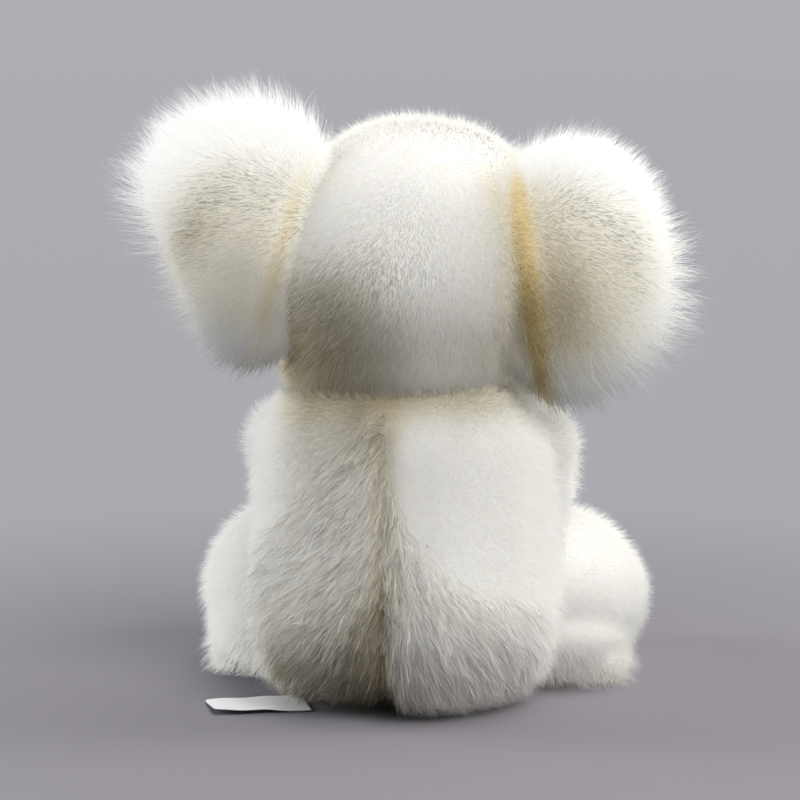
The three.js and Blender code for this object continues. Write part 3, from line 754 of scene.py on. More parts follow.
def collar_keep(p, n):
    """The ring of pile at the torso's top edge, which stands up into the neck crease."""
    return torso_keep(p, n) * (1 - smooth(6, 10, -over_crease(p))) * smooth(26, 31, neck_reach(p))


def collar_comb(p):
    return vectors(p[:, 0] / 40, (p[:, 1] - NECK[1]) / 40, 0.1) + 0.4 * cells(p, 6, 11)


def flank_keep(p, n):
    """The torso's flanks, whose pile stands out over the haunches and arms and hides the edge between them."""
    x, y, z = p.T
    return torso_keep(p, n) * smooth(34, 44, np.abs(x)) * smooth(-22, -8, y) * smooth(100, 88, z)


def flank_comb(p):
    return vectors(np.sign(p[:, 0]), 0.3, -0.7) + 0.45 * cells(p, 8, 13)


def flank_facing(p, n):
    return n + 0.25 * UP


def hem_keep(p, n):
    """The lowest ring of the seat, whose pile hangs to the floor, thinner on the raised left underside."""
    x, y, z = p.T
    raised = smooth(-12, 2, x) * smooth(25, 15, x)
    return smooth(17, 8, z) * smooth(5, 25, y) * smooth(-0.97, -0.8, n[:, 2]) * (1 - 0.7 * raised)


def hem_comb(p):
    return vectors(p[:, 0] / 60, 0.55, -1) + 0.35 * cells(p, 7, 14)


def hem_facing(p, n):
    return n * 0.45 + unit(p * (1, 1, 0)) * 0.7 + 0.5 * UP


torso = torso_skin()
finish_skin(
    torso, "torso", "body_pile", ["torso_cover", "torso_filling", "back_seam_thread"],
    tint=torso_tint, deep=torso_painted_shade,
)
on_torso = partial(pile_on, ob=torso, body="torso", slot="body_pile", tint=torso_tint, deep=torso_painted_shade)
on_torso("nap", 76000, torso_keep, torso_comb, nap_length, rise=0.5, bend=1.0, width=0.2, segments=1)
on_torso("pile", 18000, torso_keep, torso_comb, 5.0, rise=0.35, bend=1.0, width=0.14, clump=0.2)
on_torso(
    "long", 90000, long_keep, torso_comb, 10.5, rise=0.45, bend=1.1, width=0.16, segments=3, clump=0.62,
    clump_size=12, jitter=0.24, curl=0.25, spread=(0.5, 1.25), shadows=0.4, round_share=0.6, glint=0.5, deep=long_painted_shade,
)
on_torso(
    "collar", 90000, collar_keep, collar_comb, 5.0, rise=0.2, bend=0.6, width=0.16, clump=0.25,
    spread=(0.6, 1.2),
)
on_torso(
    "flank", 120000, flank_keep, flank_comb, 7.5, rise=0.15, bend=0.95, width=0.12, clump=0.3, jitter=0.25,
    curl=0.2, spread=(0.4, 1.3), facing=flank_facing, deep=scaled(torso_painted_shade, 0.5),
)
on_torso(
    "hem", 90000, hem_keep, hem_comb, 8.0, rise=0.2, bend=0.75, width=0.14, clump=0.45, jitter=0.22, curl=0.2,
    spread=(0.5, 1.25), shadows=0.25, facing=hem_facing, glint=0.3, deep=scaled(torso_painted_shade, 0.6),
)


# Neck

neck = union_skin("neck_core", [ball_points(NECK_RADIUS - 0.6, NECK)], 1.8, 4)
finish_skin(neck, "neck", "filling", ["neck_filling"])


# Head

NOSE = np.array([0, -58.0, 41.0])


def head_skin():
    points, faces = level_points(
        HEAD_LEVELS, height=HEAD_HEIGHT, half_width=49.5 - PILE_DEPTH, back=47 - PILE_DEPTH, front=46 - PILE_DEPTH,
        forward=0, rings=80, sides=110,
    )
    points[:, 2] *= 1 - PILE_DEPTH / HEAD_HEIGHT
    muzzle = ball_points(np.array([24, 26, 18]) - PILE_DEPTH, np.array([0, -33, 33]))
    cheeks = [
        ball_points(np.array([15.5, 16.5, 15.5]) - PILE_DEPTH, np.array([20, -24, 26]) * mirror)
        for mirror in MIRRORS.values()
    ]
    ob = union_skin("head_skin", [(points, faces), muzzle, *cheeks], 1.5, 14)
    p = points_of(ob)
    p[:, 2] = np.maximum(p[:, 2], 0)
    p = placed(p, HEAD_FRAME)
    p[:, 2] -= 0.16 * p[:, 0] * (1 - smooth(4, 34, p[:, 2] - NECK[2]))
    p[:, 2] = np.maximum(p[:, 2], crease_wall(p, 1))
    set_points(ob, out_of_neck(p, 0.6))
    return ob


def in_head(p):
    return backs(HEAD_FRAME, p)


def face_side(q):
    return 1 - smooth(-38, -4, q[:, 1])


def seam_span(local):
    """1 along an ear's seam and 0 past its ends, in the ear's frame."""
    return smooth(46, 30, np.abs(local[:, 2] + 4))


def head_keep(p, n):
    return 1.0 - ((p[:, 2] < NECK[2] + 5) & (neck_reach(p) < HIDDEN_BY_NECK))


def head_comb(p):
    """Down the back of the head, and away from the nose in the face."""
    q = in_head(p)
    back = vectors(0.15 * q[:, 0] / 40, 0.35 * smooth(40, 80, q[:, 2]) + 1.3 * smooth(66, 86, q[:, 2]), -1)
    out = unit(q - NOSE) + 0.1 * UP
    way = placed(mixed(back, out, face_side(q)), turned_y(-HEAD_ROLL))
    return way + 0.3 * cells(p, 10, 3) + 0.2 * cells(p, 3, 4)


def head_length(p, n):
    q = in_head(p)
    near_nose = 1 - smooth(12, 34, np.linalg.norm(q - NOSE, axis=1))
    low = 1 - smooth(2, 18, p[:, 2] - NECK[2])
    return 5.4 - 1.2 * face_side(q) - 1.6 * near_nose + 2.0 * low


def head_tint(p, n):
    """The pile's ivory, with painted warm shade along the ears' seams, more so on the right, and towards the neck, more
    so on the left.
    """
    crease = 0
    for side, strength in (("left", 0.7), ("right", 1.0)):
        local = backs(EAR_FRAME, in_head(p) * MIRRORS[side])
        crease = crease + strength * bell(np.hypot(local[:, 0], local[:, 1]) / 12) * seam_span(local)
    low = 1 - smooth(2, 46, p[:, 2] - NECK[2])
    left = smooth(-30, 30, p[:, 0]) * smooth(-16, 14, p[:, 1])
    return 0.26 + 0.55 * np.clip(crease, 0, 1) + (0.16 + 0.2 * left) * low


def head_painted_shade(p, n):
    """Painted shade over the neck crease, most low on the left, and a little along the right ear."""
    rise = over_crease(p)
    left = smooth(-17, 22, p[:, 0]) * smooth(-14, 14, p[:, 1])
    x, y, z = backs(EAR_FRAME, in_head(p) * MIRRORS["right"]).T
    ear = 0.52 * bell(np.hypot(x, y) / 20) * smooth(46, 16, z) * (0.35 + 0.65 * smooth(-32, -8, z))
    over = 0.92 * left * smooth(60, 30, rise) * (0.85 + 0.15 * smooth(6, 16, rise))
    return np.clip(over + 0.06 * bell(np.maximum(rise, 0) / 6) + ear, 0, 1)


def head_facing(p, n):
    """The back of the head takes more light from above, in its middle and low on the right."""
    x, y, z = p.T
    rise = z - NECK[2]
    middle = 0.5 * bell((x + 2) / 18) * smooth(10, 30, y) * smooth(22, 44, rise)
    low = 0.3 * smooth(4, -14, x) * smooth(0, 20, y) * smooth(44, 14, rise)
    return n + middle[:, None] * np.array([0, 0.1, 1.0]) + low[:, None] * np.array([-0.15, 0.35, 0.75])


def fall_keep(p, n):
    """The head's lower edge, whose pile hangs over the neck crease."""
    return (1 - smooth(9, 15, over_crease(p))) * smooth(25, 30, neck_reach(p))


def fall_comb(p):
    return vectors(p[:, 0] / 60, (p[:, 1] - NECK[1]) / 60, -1) + 0.4 * cells(p, 6, 12)


def fall_bend(p, n):
    """The more a root faces down, the more its strand bends outwards, so that it hangs past the edge."""
    return 0.5 + 0.2 * smooth(0, -0.5, n[:, 2])


head = head_skin()
finish_skin(head, "head", "head_pile", ["head_cover", "head_filling"], tint=head_tint, deep=head_painted_shade)
on_head = partial(
    pile_on, ob=head, body="head", slot="head_pile", tint=head_tint, facing=head_facing, deep=head_painted_shade
)
on_head(
    "nap", 70000, head_keep, head_comb, scaled(head_length, 0.62), rise=0.45, bend=0.9, width=0.2, segments=1
)
on_head(
    "fall", 80000, fall_keep, fall_comb, 8.0, rise=0.4, bend=fall_bend, width=0.16, clump=0.3, spread=(0.5, 1.25)
)
on_head(
    "pile", 22000, head_keep, head_comb, scaled(head_length, 0.85), rise=0.3, bend=0.9, width=0.14, clump=0.12
)
on_head(
    "fuzz", 9000, head_keep, head_comb, scaled(head_length, 1.2), rise=0.15, bend=0.6, width=0.1, clump=0.2,
    jitter=0.25, deep=scaled(head_painted_shade, 0.5),
)


# Ears

# Each table of an ear's fringe goes by the turn round the rim: 1 up, 0 out to the side and -1 down
# crease and shade set how strongly warm shade and shade are painted along the seam and, with dip, in the back panel's
# dip; middle and raised set how the pile takes light.
EAR_LOOKS = {
    "left": {
        "length": ([-1.2, -0.8, -0.3, 0.0, 0.15, 0.35, 0.6, 1.0, 1.4], [8, 13, 16, 21, 19, 16, 17, 19, 12]),
        "fullness": ([-1.2, -0.5, 0.0, 0.4], [0.25, 0.3, 0.6, 1.0]),
        "crease": 0.3,
        "shade": (0.15, 0.55),
        "dip": 36,
        "middle": (12, 39),
        "raised": 1.0,
    },
    "right": {
        "length": ([-1.2, -0.8, -0.4, 0.0, 0.3, 0.6, 1.0, 1.4], [10, 20, 19, 15, 11, 11, 9, 6]),
        "fullness": ([-1.2, -0.6, 0.0, 0.4, 1], [0.4, 0.6, 1, 1, 0.7]),
        "crease": 0.85,
        "shade": (0.85, 0.35),
        "dip": 18,
        "middle": (2, 33),
        "raised": 0.5,
    },
}


def ear_skin(side):
    outline = np.array(EAR_OUTLINES[side]) * (EAR_REACH, EAR_HALF_HEIGHT)
    pad = pillow_points(spline(outline, 72, closed=True)[::-1], back=7.0, front=8.5, rings=18)
    ob = union_skin(f"ear_{side}_skin", [pad, ball_points(np.array([9.0, 9.0, 33]), np.zeros(3))], 1.4, 8)
    p = points_of(ob)
    p[:, 1] -= 4.5 * bell((p[:, 0] - 33) / 13, (p[:, 2] + 2) / 20) * smooth(-2, 5, p[:, 1])
    if side == "right":
        ob.data.flip_normals()
    set_points(ob, placed(p, EAR_FRAMES[side]))
    return ob


def furred_ear(side):
    """One ear: short pile on its back, long in its lining, and wisps past its rim."""
    looks = EAR_LOOKS[side]
    to_world = EAR_FRAMES[side]

    def local(p):
        return backs(to_world, p)

    def turned(v):
        return v @ to_world[:3, :3].T

    def rim_turn(p):
        x, y, z = local(p).T
        return np.arctan2(z / 44, (x - 16) / 38) * 2 / math.pi

    def rim(p):
        """0 in the ear's middle and 1 at its rim, away from the seam."""
        x, y, z = local(p).T
        return smooth(0.62, 1.0, np.hypot((x - 17) / 34, z / 39)) * smooth(-4, 14, x + 0.18 * np.abs(z))

    def comb(p):
        x, y, z = local(p).T
        back = (y > 0)[:, None] * (1 - rim(p))[:, None]
        out = vectors((x + 4) / 40, 0, z / 44 * 1.1) + back * np.array([0.25, 0, -0.5])
        return turned(out) + 0.25 * cells(p, 8, 5) + 0.15 * cells(p, 3, 6)

    def tint(p, n):
        """Painted warm shade in the crease at the seam, and a little in the middle of the back panel. Whiter towards
        the rim and the top.
        """
        q = local(p)
        x, y, z = q.T
        near = (0.85 * bell((x - 1.5) / 2.8) + 0.32 * bell((x - 5) / 14)) * seam_span(q)
        panel = bell((x - 26) / 16, (z + 6) / 22) * (y > 0)
        warm = 0.38 + looks["crease"] * near + 0.14 * panel - 0.38 * rim(p) - 0.15 * smooth(10, 36, z)
        return np.clip(warm, 0, 1)

    def deep(p, n):
        """Painted shade along the seam and in the dip of the back panel."""
        q = local(p)
        x, y, z = q.T
        near = 0.5 * bell(x / 5) + 0.62 * bell((x - 7) / 14) * smooth(22, -14, z)
        near = near * seam_span(q) * smooth(34, -10, z)
        dip = bell((x - looks["dip"]) / 13, (z + 6) / 21) * (y > 0)
        return looks["shade"][0] * near + looks["shade"][1] * dip

    def facing(p, n):
        """Towards the rim the pile fans out, so it takes light more and more from round the rim and from above."""
        x, y, z = local(p).T
        middle, wide = looks["middle"]
        share = smooth(0.25, 1.0, np.hypot((x - middle) / wide, z / 42))[:, None]
        out = turned(unit(vectors((x - 10) / 38, 0, z / 44)))
        raised = smooth(-14, 20, z)[:, None] * (1 - 0.75 * share) * UP * looks["raised"]
        return n * (1 - 0.75 * share) + (0.6 * out + np.array([0, 0.45, 0.4])) * share + raised

    def fringe_length(p, n):
        return np.interp(rim_turn(p), *looks["length"])

    def fringe_keep(p, n):
        x, y, z = local(p).T
        full = np.interp(rim_turn(p), *looks["fullness"])
        return np.clip(rim(p) * full + 0.35 * smooth(0, -5, y) * smooth(0, 14, x), 0, 1)

    def seam_keep(p, n):
        """The ear's root on its back, where the pile leans over the seam onto the head."""
        x, y, z = local(p).T
        return smooth(13, 5, x) * (y > 0)

    def seam_comb(p):
        return turned(vectors(-1, 0, -0.35 + 0.008 * local(p)[:, 2])) + 0.4 * cells(p, 6, 15)

    def mid_keep(p, n):
        """Half-long pile between the short back panel and the fringe."""
        x, y, z = local(p).T
        return smooth(0.5, 0.8, np.hypot((x - 15) / 36, z / 40)) * (y > 0) * smooth(2, 12, x)

    body = f"ear_{side}"
    ear = ear_skin(side)
    nodes = [f"{body}_back", f"{body}_lining", f"{body}_filling"]
    finish_skin(ear, body, "head_pile", nodes, tint=tint, deep=deep)
    short = partial(pile_on, ob=ear, body=body, slot="head_pile", tint=tint, facing=facing)
    long = partial(short, slot="long_pile", width=0.13, bend=1.0, spread=(0.35, 1.25))
    short(
        "nap", 24000, everywhere, comb, lambda p, n: 3.4 + 3.5 * rim(p), rise=0.45, bend=0.9, width=0.2,
        segments=1, deep=scaled(deep, 1, -0.12),
    )
    short(
        "pile", 14000, everywhere, comb, lambda p, n: 4.6 + 6 * rim(p), rise=0.3, bend=0.9, width=0.14,
        clump=0.1, spread=(0.6, 1.3), deep=scaled(deep, 1, -0.12),
    )
    short(
        "seam", 14000, seam_keep, seam_comb, 6.0, rise=0.3, bend=0.9, width=0.15, clump=0.2, jitter=0.2,
        curl=0.2, spread=(0.4, 1.3), deep=scaled(deep, 1, -0.1),
    )
    long(
        "mid", 30000, mid_keep, comb, 10.0, rise=0.45, clump=0.2, jitter=0.18, curl=0.2,
        deep=scaled(deep, 0.6, -0.3),
    )
    long(
        "fringe", 34000, fringe_keep, comb, fringe_length, rise=0.45, segments=3, clump=0.5, clump_size=9,
        jitter=0.25, curl=0.25, round_share=0.5, glint=0.12, deep=-0.35,
    )
    long(
        "wisps", 2600, fringe_keep, comb, scaled(fringe_length, 1.22), rise=0.4, width=0.11, segments=4,
        clump=0.6, clump_size=4, jitter=0.34, curl=0.4, spread=(0.7, 1.15), round_share=0.5,
    )


furred_ear("left")
furred_ear("right")


# Limbs

LIMB_TINT = 0.2
# The ways in which the arm's pile and the leg's low pile take light, and how much more the haunch takes from beside
LIMB_LIGHT = {"left": ((0.6, 0.15, 0.25), (0.7, 0.55, 0.3), 1.2), "right": ((-0.3, 0.75, 0.85), (-0.35, 0.5, 0.0), 0.1)}


def arm_skin(side, mirror):
    arm = limb_points(np.array([SHOULDER, ELBOW, PAW]) * mirror, [12.5 - 0.8, 12 - 1, 14 - 1.4], 26, 28)
    ob = union_skin(f"arm_{side}_skin", [arm, ball_points(SHOULDER_RADIUS - 0.3, SHOULDER * mirror)], 1.3, 10)
    set_points(ob, out_of_ball(points_of(ob), normals_of(ob), HIP * mirror, HIP_RADIUS + 0.3))
    return ob


def leg_skin(side, mirror):
    leg = limb_points(np.array([HIP, ANKLE, TOE]) * mirror, [23 - 0.6, 18.5 - 0.8, 19.5 - 1.2], 30, 32)
    seat = ball_points(np.array([22.5, 26, 18.5]), np.array([52, -28, 18.4]) * mirror)
    low_bump = ball_points(np.array([8.5, 12, 8.5]), np.array([65.5, -23, 8.8]) * mirror)
    haunch = ball_points(HIP_RADIUS - 0.2, HIP * mirror)
    ob = union_skin(f"leg_{side}_skin", [leg, haunch, seat, low_bump], 1.5, 12)
    p = points_of(ob)
    p[:, 2] = np.maximum(p[:, 2], LOWEST)
    set_points(ob, p)
    return ob


def furred_limbs(side, mirror):
    """The arm and the leg of one side."""
    outwards = mirror[0]
    shoulder = SHOULDER * mirror
    arm_light, low_light, haunch_light = LIMB_LIGHT[side]

    def arm_comb(p):
        return unit((PAW - SHOULDER) * mirror) + 0.3 * cells(p, 8, 7) + 0.2 * cells(p, 3, 8)

    def arm_keep(p, n):
        return 1.0 - ((p[:, 0] * outwards < 33) & (p[:, 1] > -24))

    def arm_facing(p, n):
        return n + np.array(arm_light)

    def root_keep(p, n):
        """The arm's root, where it leaves the torso."""
        return smooth(20, 11, np.linalg.norm(p - shoulder, axis=1)) * smooth(34, 40, p[:, 0] * outwards)

    def root_comb(p):
        return unit(p - shoulder - np.array([4.0 * outwards, -5, -4])) + 0.4 * cells(p, 6, 16)

    def leg_comb(p):
        """Outwards and down on the haunch, and ahead on the foot."""
        out = vectors(0.5 * outwards + 0 * p[:, 0], 0.25, -1)
        way = mixed(out, np.array([0.1 * outwards, -1, -0.15]), smooth(-52, -72, p[:, 1]))
        return way + 0.3 * cells(p, 9, 9) + 0.2 * cells(p, 3, 10)

    def leg_keep(p, n):
        return 1.0 - (on_floor(p, n) | ((p[:, 0] * outwards < 30) & (p[:, 1] > -45)))

    def leg_painted_shade(p, n):
        """Painted shade where the haunch meets the torso, and low behind it."""
        x, y, z = p.T
        by_torso = 0.15 * smooth(47, 36, np.abs(x)) * smooth(-40, -20, y)
        return by_torso + 0.4 * smooth(20, 0, z) * smooth(-45, -30, y)

    def leg_facing(p, n):
        """Low pile lies outwards and takes light from beside and above."""
        low = smooth(26, 4, p[:, 2])[:, None]
        beside = haunch_light * smooth(64, 30, p[:, 2])[:, None] * np.array([0.6 * outwards, 0.4, 0.7])
        return n * (1 - 0.6 * low) + low * np.array(low_light) + beside

    def leg_length(p, n):
        return 6.5 + 3.0 * smooth(16, 4, p[:, 2]) * smooth(-50, -35, p[:, 1])

    arm = arm_skin(side, mirror)
    finish_skin(arm, f"arm_{side}", "body_pile", [f"arm_{side}_cover", f"arm_{side}_filling"])
    leg = leg_skin(side, mirror)
    finish_skin(leg, f"leg_{side}", "body_pile", [f"leg_{side}_cover", f"leg_{side}_filling"])
    on_limb = partial(pile_on, slot="body_pile", tint=LIMB_TINT, clump=0.2)
    on_arm = partial(on_limb, ob=arm, body=f"arm_{side}", facing=arm_facing)
    on_leg = partial(on_limb, ob=leg, body=f"leg_{side}", facing=leg_facing, deep=leg_painted_shade)
    nap = {"width": 0.2, "segments": 1, "clump": 0.0}
    on_arm("nap", 10000, arm_keep, arm_comb, 3.4, rise=0.5, bend=0.95, **nap)
    on_arm("pile", 4000, arm_keep, arm_comb, 4.6, rise=0.35, bend=0.95, width=0.15)
    on_arm(
        "root", 12000, root_keep, root_comb, 6.5, rise=0.2, bend=0.95, width=0.14, clump=0.25,
        jitter=0.22, curl=0.2, spread=(0.4, 1.3),
    )
    on_leg("nap", 28000, leg_keep, leg_comb, 3.6, rise=0.45, bend=0.9, **nap)
    on_leg("pile", 10000, leg_keep, leg_comb, 5.0, rise=0.3, bend=0.9, width=0.15)
    on_leg("fuzz", 16000, leg_keep, leg_comb, leg_length, rise=0.15, bend=0.75, width=0.11, jitter=0.25)
    on_arm("fuzz", 4000, arm_keep, arm_comb, 6.5, rise=0.15, bend=0.7, width=0.1, jitter=0.25)


furred_limbs("left", MIRRORS["left"])
furred_limbs("right", MIRRORS["right"])


# Care label: a blank woven strip that lies on the floor, its near edge turned up

LABEL_LENGTH, LABEL_WIDTH, LABEL_THICKNESS = 34.0, 22.0, 0.3
LABEL_ROOT, LABEL_WAY = np.array([30.0, 25.0]), np.array([0.9303, 0.3668])


def label_looks(tree):
    uv = added(tree, "UVMap", uv_map="weave")["UV"]
    warp = texture(tree, "Wave", 1.3, distortion=0.4, place=uv, bands_direction="Y")
    weft = texture(tree, "Wave", 0.6, distortion=0.4, place=uv, bands_direction="X")
    weave = added(tree, "Math", {0: warp, 1: weft}, operation="MULTIPLY")["Value"]
    return {
        "Base Color": ramp(tree, weave, (0, (0.86, 0.865, 0.88)), (1, (0.95, 0.95, 0.955))),
        "Normal": bump(tree, weave, 0.145, 0.0001),
        "Roughness": 0.42,
        "Sheen Weight": 0.3,
    }


def care_label():
    rows, columns = 52, 26
    near = np.array([-LABEL_WAY[1], LABEL_WAY[0]])
    s = np.linspace(0, 1, rows)[:, None]  # from the seam to the free end
    t = np.linspace(-1, 1, columns)[None, :]  # from one edge to the other
    corner = np.clip((s - 0.93) / 0.07, 0, 1) * np.clip((np.abs(t) - 0.8) / 0.2, 0, 1)
    along = s * LABEL_LENGTH - corner * 1.0 - 0.35 * s * (t + 1) * 1.2
    across = t * LABEL_WIDTH / 2 * (1 - 0.012 * smooth(0.2, 0.6, s))
    up = 0.32 + 0.9 * smooth(0.12, 0.5, s) * (0.5 + t / 2) ** 1.25 + 0.8 * smooth(0.55, 1, s) * (0.5 + t / 2)
    up = up + 0.25 * np.sin(s * 7 + t) ** 2 * smooth(0.1, 0.4, s)
    flat = LABEL_ROOT + along[..., None] * LABEL_WAY + across[..., None] * near
    points = np.concatenate([flat, up[..., None]], 2).reshape(-1, 3)
    corners = [r * columns + c for r in range(rows - 1) for c in range(columns - 1)]
    ob = mesh_of("care_label_cloth", points, [(a, a + columns, a + columns + 1, a + 1) for a in corners])
    uv = ob.data.uv_layers.new(name="weave")
    loops = np.empty(len(ob.data.loops), np.int32)
    ob.data.loops.foreach_get("vertex_index", loops)
    flat_uv = vectors(s * LABEL_LENGTH, t * LABEL_WIDTH / 2).reshape(-1, 2)
    uv.data.foreach_set("uv", flat_uv[loops].astype(np.float32).ravel())
    thick = ob.modifiers.new("thick", "SOLIDIFY")
    thick.thickness = LABEL_THICKNESS * MM
    thick.offset = 1
    applied(ob)
    dress(ob, surface("woven satin", label_looks), "care_label", "label", "care_label")


care_label()


# Materials of the face, the foot pads and the washers


def grained(name, colours, grain, relief, levels, spots=None, rough=None, **settings):
    """A material whose relief follows a grain. Its colours follow the spots, a second texture, or the grain too."""

    def looks(tree):
        fine = texture(tree, *grain, **settings)
        inputs = {
            "Base Color": ramp(tree, texture(tree, *spots) if spots else fine, *colours),
            "Normal": bump(tree, fine, *relief),
        }
        if rough:
            inputs["Roughness"] = greys(tree, fine, *rough)
        return inputs | levels

    return surface(name, looks)


eye = grained(  # polished black plastic, faintly brown in its depth, with hair-fine scratches
    "eye plastic", [(0.35, (0.006, 0.005, 0.005)), (0.7, (0.018, 0.011, 0.008))], ("Noise", 2600, 4), (0.03, 0.0001),
    {"Coat Weight": 0.6, "Coat Roughness": 0.04}, spots=("Noise", 90), rough=(0.06, 0.15),
)
nose = grained(  # moulded dark plastic with a leather-like grain, a little uneven in colour
    "nose plastic", [(0.3, (0.014, 0.012, 0.012)), (0.75, (0.035, 0.031, 0.03))], ("Voronoi", 1100), (0.35, 0.0003),
    {"Specular IOR Level": 0.55}, spots=("Noise", 160, 3), rough=(0.32, 0.5),
)
nylon = grained(  # injected: cloudy, half matt, with fine flow lines
    "washer nylon", [(0.3, (0.74, 0.74, 0.71)), (0.7, (0.84, 0.84, 0.82))], ("Wave", 420), (0.05, 0.0001),
    {}, spots=("Noise", 220, 3), rough=(0.4, 0.52),
)
thread = grained(  # twisted embroidery thread: slanting plies with a soft sheen
    "mouth thread", [(0.2, (0.012, 0.01, 0.01)), (0.8, (0.05, 0.042, 0.04))], ("Wave", 520), (0.7, 0.0003),
    {"Roughness": 0.62, "Sheen Weight": 0.35}, distortion=1.2, bands_direction="DIAGONAL",
)
yarn = grained(  # the pads' sewing thread: two shades of beige in slanting plies
    "pad thread", [(0.2, (0.3, 0.25, 0.2)), (0.8, (0.5, 0.44, 0.37))], ("Wave", 700), (0.6, 0.0003),
    {"Roughness": 0.7, "Sheen Weight": 0.3}, distortion=1.5, bands_direction="DIAGONAL",
)


def felt_looks(tree):
    """Pressed felt: matted fibres in a greyish beige, slightly soiled."""
    fibres, cloud = texture(tree, "Noise", 1500, 6, distortion=1.6), texture(tree, "Noise", 120, 3)
    base = ramp(tree, cloud, (0.3, (0.56, 0.49, 0.43)), (0.7, (0.66, 0.59, 0.525)))
    fine = ramp(tree, fibres, (0.3, (0.82, 0.8, 0.78)), (0.7, (1, 1, 1)))
    return {
        "Base Color": multiplied(tree, base, fine),
        "Normal": bump(tree, fibres, 0.8, 0.0005),
        "Roughness": 0.95,
        "Specular IOR Level": 0.1,
        "Sheen Weight": 0.6,
    }


felt = surface("pad felt", felt_looks)


# Face and foot pads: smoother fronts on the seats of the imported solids


def packed_points(node):
    ob = bpy.data.objects[node]
    return placed(points_of(ob), ob.matrix_world)


def seated(node, out, height):
    """A frame whose Z points out of the face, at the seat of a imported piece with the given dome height, and where
    that piece ends behind it."""
    packed = packed_points(node)
    out = unit(np.array(out, float))
    across = unit(np.cross(HEAD_FRAME[:3, 2], out))
    along = packed @ out
    m = np.eye(4)
    m[:3, 0], m[:3, 1], m[:3, 2] = across, np.cross(out, across), out
    m[:3, 3] = packed[along.argmax()] - out * height
    return m, along.min() - along.max() + height


def turned_piece(name, profile, matrix):
    """A closed turned piece from (half width, half height, depth) rows between its two poles."""
    angle = turns(72)
    rows = [[0, 0, profile[0][2]]]
    for wide, tall, depth in profile[1:-1]:
        rows.extend(vectors(wide * np.cos(angle), tall * np.sin(angle), depth))
    rows.append([0, 0, profile[-1][2]])
    return mesh_of(name, placed(np.array(rows, float), matrix), ring_faces(len(profile) - 2, len(angle)))


def domed(node, out, half_width, half_height, dome, material, slot, flat):
    """A moulded front on its post: the rim is rounded where it presses into the pile."""
    matrix, end = seated(node, out, dome)
    post, steps = 2.4, 26
    profile = [(0, 0, end), (post * 0.7, post * 0.7, end), (post, post, end + 0.4), (post, post, -0.3)]
    profile.append((post + 0.3, post + 0.3, 0))
    profile += [(half_width * s, half_height * s, 0.0) for s in (0.7, 0.93, 0.975)]
    for k in range(steps):
        a = math.pi / 2 * k / steps
        in_plan = math.cos(a) ** flat
        profile.append((half_width * in_plan, half_height * in_plan, dome * max(0.02, math.sin(a))))
    profile.append((0, 0, dome))
    dress(turned_piece(f"{node}_front", profile, matrix), material, "head", slot, node)


def tube(path, radius, sides=8):
    """A closed tube with domed ends, as points and faces."""
    count = len(path)
    ways = unit(np.gradient(path, axis=0))
    across = unit(np.cross(ways, [0.02, 0.03, 1]))
    from_end = np.minimum(np.arange(count) + 1, count - np.arange(count))
    size = radius * np.sqrt(np.clip(from_end / 2.5, 0.25, 1))
    rows = [path[0] - ways[0] * radius * 0.4]
    for p, a, b, r in zip(path, across, np.cross(ways, across), size):
        rows.extend(p + r * round_about(turns(sides), a, b))
    rows.append(path[-1] + ways[-1] * radius * 0.4)
    return np.array(rows), ring_faces(count, sides)


def mouth():
    """Two-ply thread: one stroke down from the nose and one curved across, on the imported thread's line."""
    packed = in_head(packed_points("mouth_thread"))
    x, y, z = packed.T
    half_width, parting, ply_radius, offset, pitch = 8.6, 24.0, 0.44, 0.34, 1.9

    def middle(mask):
        return packed[mask].mean(0)

    places = [a for a in np.linspace(-half_width, half_width, 9) if abs(a) > 1.5]
    across = [middle(np.abs(x - a) < 1.0) for a in places]
    centre = (across[3] + across[4]) / 2
    centre[2] = min(centre[2], across[3][2])
    heights = np.linspace(parting + 1.6, z.max() - 0.8, 3)
    stem = [middle((np.abs(x) < 1.2) & (np.abs(z - height) < 1.0)) for height in heights]
    plies = []
    for stroke, count in ((across[:4] + [centre] + across[4:], 130), ([centre] + stem, 60)):
        line = spline(np.array(stroke), count)
        ways = unit(np.gradient(line, axis=0))
        side = unit(np.cross(ways, [0.05, 1, 0.02]))
        turn = length_along(line) / pitch * 2 * math.pi
        for start in (0, math.pi):
            ply = line + offset * round_about(turn + start, side, np.cross(ways, side))
            plies.append(tube(placed(ply, HEAD_FRAME), ply_radius))
    ob = mesh_of("mouth_stitches", *merged(plies))
    dress(ob, thread, "head", "mouth_thread", "mouth_thread")


